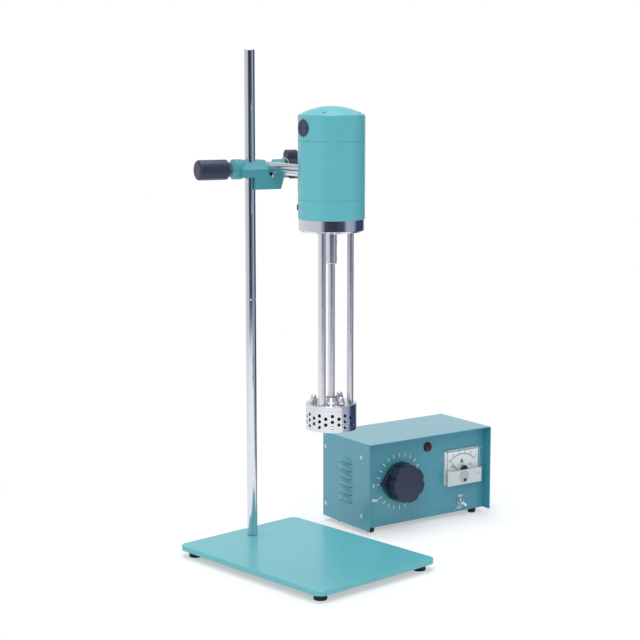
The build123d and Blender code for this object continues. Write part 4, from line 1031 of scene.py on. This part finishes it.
toggle_spot = on_panel(201.0, 25.0)
fit("toggle_nut", hexagon(11.0, 0.0, 2.0, 0.3), "base", "lamp_chrome", "toggle_body", turn=toggle_spot)
bush_profile = [(2.6, 5.5), (3.4, 7.0), (4.1, 7.0), (4.5, 6.5), (4.5, 0.0), (2.0, 0.0), (2.0, 5.5)]
fit("toggle_bush", spun(bush_profile, 0.15, 48), "base", "lamp_chrome", turn=toggle_spot)
pivot = Vector(joints["toggle_throw"]["pos_m"])
lever_way = (-panel_way * cos(radians(13.0)) - Vector((0, 0, 1)) * sin(radians(13.0))).normalized()
lever = spun([(0, -1.0), (1.4, -1.0), (1.4, 5.0), (2.1, 7.0), (2.2, 14.0), (1.4, 15.0), (0, 15.0)], 0.6, 40)
fit("toggle_lever_capped", lever, "power_toggle", "lamp_chrome", "toggle_lever",
    turn=at(pivot, lever_way), finish="print_white")
print("lever leans", 13, "degrees")

# %% [markdown]
# ## The meter
# The meter is a clear moulded box over a white card. The lower part of the box is frosted white
# inside and hides the movement, with a black screw that sets the needle's zero. The card carries a
# thin arc, its divisions and a letter for amperes.

# %% Build the meter
meter_u = 202.0
meter_z = 86.3
meter_wide = 72.6
meter_tall = 58.8
band_top = 81.4
card_low = controller_box("meter_dial")[0]
card_v = panel_face + (card_low.y - panel_low.y) / mm
meter_face = panel_face - 10.0
meter_bottom = meter_z - meter_tall / 2
fit("meter_window_clear", crisp_copy("meter_window", 0.5, 3), "base", "clear_window", "meter_window")
fit("meter_case_white", crisp_copy("meter_case", 0.3), "base", "meter_card", "meter_case",
    finish="frosted_white")
band_proud = 2.4
band = slab((meter_wide, band_top - meter_bottom, band_proud), 1.0, 0.6, 4)
fit("meter_band", band, "base", "meter_card",
    turn=on_panel(meter_u, (band_top + meter_bottom) / 2, meter_face - band_proud / 2 + 0.1),
    finish="frosted_white")
print("meter face at", round(meter_face, 1), "card at", round(card_v, 1))

# %% [markdown]
# Everything printed on the card lies a hair in front of it. The arc is a narrow ring cut to its
# span, and each division is one thin bar turned about the needle's pivot.

# %% Print the card
needle_pivot = Vector(joints["needle_swing"]["pos_m"])
pivot_z = needle_pivot.z / mm
card_turn = on_panel(meter_u, pivot_z, card_v - 0.05)
arc_radius = 37.0
arc_half = 45.0


def arc(inner, outer, half_span, steps=48):
    """Bmesh of a flat ring segment about the origin, centred on +Y."""
    mesh = bmesh.new()
    first = Matrix.Rotation(radians(90.0 - half_span), 3, "Z")
    low = mesh.verts.new(first @ Vector((inner * mm, 0, 0)))
    high = mesh.verts.new(first @ Vector((outer * mm, 0, 0)))
    line = mesh.edges.new((low, high))
    bmesh.ops.spin(mesh, geom=[low, high, line], cent=(0, 0, 0), axis=(0, 0, 1),
                   angle=radians(2 * half_span), steps=steps)
    return mesh


def divisions(count, inner, outer, width):
    """Bmesh of bars that radiate from the pivot across the arc."""
    spots = []
    for i in range(count):
        angle = radians(90.0 + arc_half - 2 * arc_half * i / (count - 1))
        spots.append(Matrix.Rotation(angle, 4, "Z") @ shift((inner + outer) / 2))
    return repeated(printed_bar(outer - inner, width), spots)


def print_on_card(name, mesh, turn=card_turn):
    """Lay a black print on the card."""
    fit(name, mesh, "base", "meter_card", turn=turn, finish="print_black")


print_on_card("meter_arc", arc(arc_radius - 0.45, arc_radius + 0.45, arc_half))
print_on_card("meter_divisions", divisions(6, arc_radius, arc_radius + 3.8, 0.8))
print_on_card("meter_half_divisions", divisions(31, arc_radius, arc_radius + 1.8, 0.35))
number_radius = 42.3
for i in range(6):
    angle = radians(90.0 + arc_half - 2 * arc_half * i / 5)
    spot = card_turn @ shift(cos(angle) * number_radius, sin(angle) * number_radius)
    print_on_card("meter_number_" + str(i), letters(str(i), 4.0), spot)
letter_spot = on_panel(meter_u, pivot_z + 25.0, card_v - print_thickness / 2)
print_on_card("meter_letter", letters("A", 9.0, 0.06), letter_spot)
small_spots = [letter_spot @ shift(x, y) for x, y in
               ((-20.0, -7.0), (-18.0, -9.4), (18.5, -6.6), (20.0, -9.0))]
print_on_card("meter_small_marks", repeated(printed_bar(8.0, 0.8), small_spots), None)
print_on_card("meter_letter_line", printed_bar(5.0, 0.9), letter_spot @ shift(0, -6.0))
fit("meter_pivot_shade", arc(0.05, 8.0, 90.0), "base", "meter_card",
    turn=on_panel(meter_u, band_top - 0.5, meter_face - 0.1), finish="print_black")
movement = spun([(0, 0), (10.5, 0), (10.5, 0.3), (9.8, 0.5), (6.0, 0.5), (5.4, 0.3), (0, 0.3)], 0.1, 64)
fit("meter_movement", movement, "base", "meter_card",
    turn=on_panel(meter_u - 2.0, band_top - 11.5, meter_face - band_proud + 0.1), finish="movement_grey")

zero = spun([(0, 3.6), (2.2, 3.6), (2.8, 3.3), (2.9, 2.4), (2.5, 2.3), (2.5, -2.0), (0, -2.0)], 0.2, 48)
zero_spot = Vector(joints["zero_turn"]["pos_m"])
fit("zero_screw_turned", zero, "zero_adjuster", "black_phenolic", "zero_screw",
    turn=at(zero_spot, -panel_way))
rivet = spun([(0, 0.3), (1.0, 0.2), (1.25, -0.4), (0, -0.4)], 0.1, 24)
fit("meter_rivet", rivet, "base", "meter_card", turn=on_panel(231.1, 71.7, meter_face - band_proud),
    finish="print_black")
print("card printed")

# %% [markdown]
# ## Room, floor and light
# Polished metal shows whatever surrounds it. A white tent with a dark gap beside the lens gives a
# cylinder its bright and dark bands, so the surroundings are painted by direction for
# reflections only. Everything else is lit by soft, even light.

# %% Build the surroundings
def surroundings():
    """World that is white to the lens, soft and plain for lighting, banded for reflections."""
    world = bpy.data.worlds.new("studio")
    bpy.context.scene.world = world
    world.use_nodes = True
    tree = world.node_tree
    tree.nodes.clear()
    direction = add(tree, "TexCoord")
    towards = add(tree, "Mapping", {"Rotation": (0, 0, radians(180 - view_heading))},
                  {"Vector": (direction, "Generated")})
    angle = add(tree, "TexGradient", links={"Vector": (towards, "Vector")}, gradient_type="RADIAL")
    bands = add(tree, "ValToRGB", links={"Fac": (angle, "Fac")})
    stops = ((-180, "#F4F5F7"), (-120, "#ECEDF2"), (-40, "#DCDCE6"), (-22, "#4A4C5A"), (12, "#3A3D4C"),
             (44, "#50546A"), (56, "#B9C2D6"), (84, "#A8B4CE"), (98, "#434A72"), (146, "#3C4468"),
             (160, "#E6E8EE"), (180, "#F4F5F7"))
    ramp = bands.color_ramp
    while len(ramp.elements) < len(stops):
        ramp.elements.new(0.5)
    for element, (turn, code) in zip(ramp.elements, stops):
        element.position = (turn + 180) / 360
        element.color = colour(code)
    split = add(tree, "SeparateXYZ", links={"Vector": (direction, "Generated")})
    ceiling = add(tree, "MapRange", {"From Min": 0.18, "From Max": 0.5}, {"Value": (split, "Z")})
    roof = add(tree, "Mix", {"B": colour("#BFC6CE")},
               {"Factor": (ceiling, "Result"), "A": (bands, "Color")}, data_type="RGBA")
    room = add(tree, "Background", {"Strength": 1.0})
    wire(tree, (roof, "Result"), (room, "Color"))
    plain = add(tree, "Background", {"Color": colour("#F4F7FA"), "Strength": 0.6})
    white = add(tree, "Background", {"Color": colour("#FFFFFF"), "Strength": 1.0})
    ray = add(tree, "LightPath")
    lit = add(tree, "MixShader", links={"Fac": (ray, "Is Glossy Ray")})
    wire(tree, (plain, 0), (lit, 1))
    wire(tree, (room, 0), (lit, 2))
    straight = add(tree, "Math", links={0: (ray, "Is Camera Ray")}, operation="ADD")
    wire(tree, (ray, "Is Transmission Ray"), (straight, 1))
    shown = add(tree, "MixShader", links={"Fac": (straight, "Value")})
    wire(tree, (lit, 0), (shown, 1))
    wire(tree, (white, 0), (shown, 2))
    output = add(tree, "OutputWorld")
    wire(tree, (shown, 0), (output, "Surface"))


surroundings()
bpy.context.scene.view_settings.view_transform = "Standard"


def soft_light(name, place, target, size, power):
    """Rectangular softbox that looks at a target."""
    data = bpy.data.lights.new(name, "AREA")
    data.shape = "SQUARE"
    data.size = size
    data.energy = power
    light = bpy.data.objects.new(name, data)
    light.location = place
    light.rotation_euler = (Vector(target) - Vector(place)).to_track_quat("-Z", "Y").to_euler()
    bpy.context.scene.collection.objects.link(light)


soft_light("key", (-1.6, -1.2, 2.2), (0, 0, 0.3), 1.4, 20)
soft_light("top", (0.1, 0.4, 4.4), (0, 0, 0.2), 2.8, 100)

floor_mesh = bmesh.new()
bmesh.ops.create_grid(floor_mesh, x_segments=2, y_segments=2, size=6.0)
floor_data = bpy.data.meshes.new("floor")
floor_mesh.to_mesh(floor_data)
floor_mesh.free()
floor = bpy.data.objects.new("floor", floor_data)
bpy.context.scene.collection.objects.link(floor)
floor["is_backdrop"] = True


def floor_finish():
    """Matt white table that takes a soft shadow near the machine and fades into the white room.

    In polished metal the table ends two metres away, and sooner on the dark side of the room.
    """
    material, tree, shader, place = begin("white_table", Roughness=0.9)
    grain = add(tree, "TexNoise", {"Scale": per(30.0)}, {"Vector": (place, "Object")})
    tone = add(tree, "Mix", {"A": colour("#F7F8F9"), "B": colour("#FBFCFC")}, {"Factor": (grain, "Fac")},
               data_type="RGBA")
    wire(tree, (tone, "Result"), (shader, "Base Color"))
    away = add(tree, "VectorMath", links={0: (place, "Object")}, operation="LENGTH")
    fade = add(tree, "MapRange", {"From Min": 0.25, "From Max": 0.75, "To Min": 0.45, "To Max": 1.0},
               {"Value": (away, "Value")}, interpolation_type="SMOOTHSTEP")
    ray = add(tree, "LightPath")
    seen = add(tree, "Math", links={0: (fade, "Result"), 1: (ray, "Is Camera Ray")}, operation="MULTIPLY")
    glow = add(tree, "Emission", {"Color": colour("#FFFFFF"), "Strength": 1.0})
    gone = add(tree, "BsdfTransparent")
    far = add(tree, "MapRange", {"From Min": 1.9, "From Max": 2.5}, {"Value": (away, "Value")})
    aside = add(tree, "VectorMath", {1: (0.97, -0.22, 0)}, {0: (place, "Object")},
                operation="DOT_PRODUCT")
    dark_side = add(tree, "MapRange", {"From Min": 0.15, "From Max": 0.35}, {"Value": (aside, "Value")})
    ended = add(tree, "Math", links={0: (far, "Result"), 1: (dark_side, "Result")}, operation="MAXIMUM")
    unseen = add(tree, "Math", links={0: (ended, "Value"), 1: (ray, "Is Glossy Ray")},
                 operation="MULTIPLY")
    mirror = add(tree, "MixShader", links={"Fac": (unseen, "Value")})
    wire(tree, (shader, 0), (mirror, 1))
    wire(tree, (gone, 0), (mirror, 2))
    sweep = add(tree, "MixShader", links={"Fac": (seen, "Value")})
    wire(tree, (mirror, 0), (sweep, 1))
    wire(tree, (glow, 0), (sweep, 2))
    output = next(n for n in tree.nodes if n.type == "OUTPUT_MATERIAL")
    wire(tree, (sweep, 0), (output, "Surface"))
    return material


floor_data.materials.append(floor_finish())
print("room ready")

# %% [markdown]
# ## Measure
# The outline of the dressed model is measured again.

# %% Measure and finish
low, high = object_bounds()
print("size:", [round(v, 4) for v in high - low])
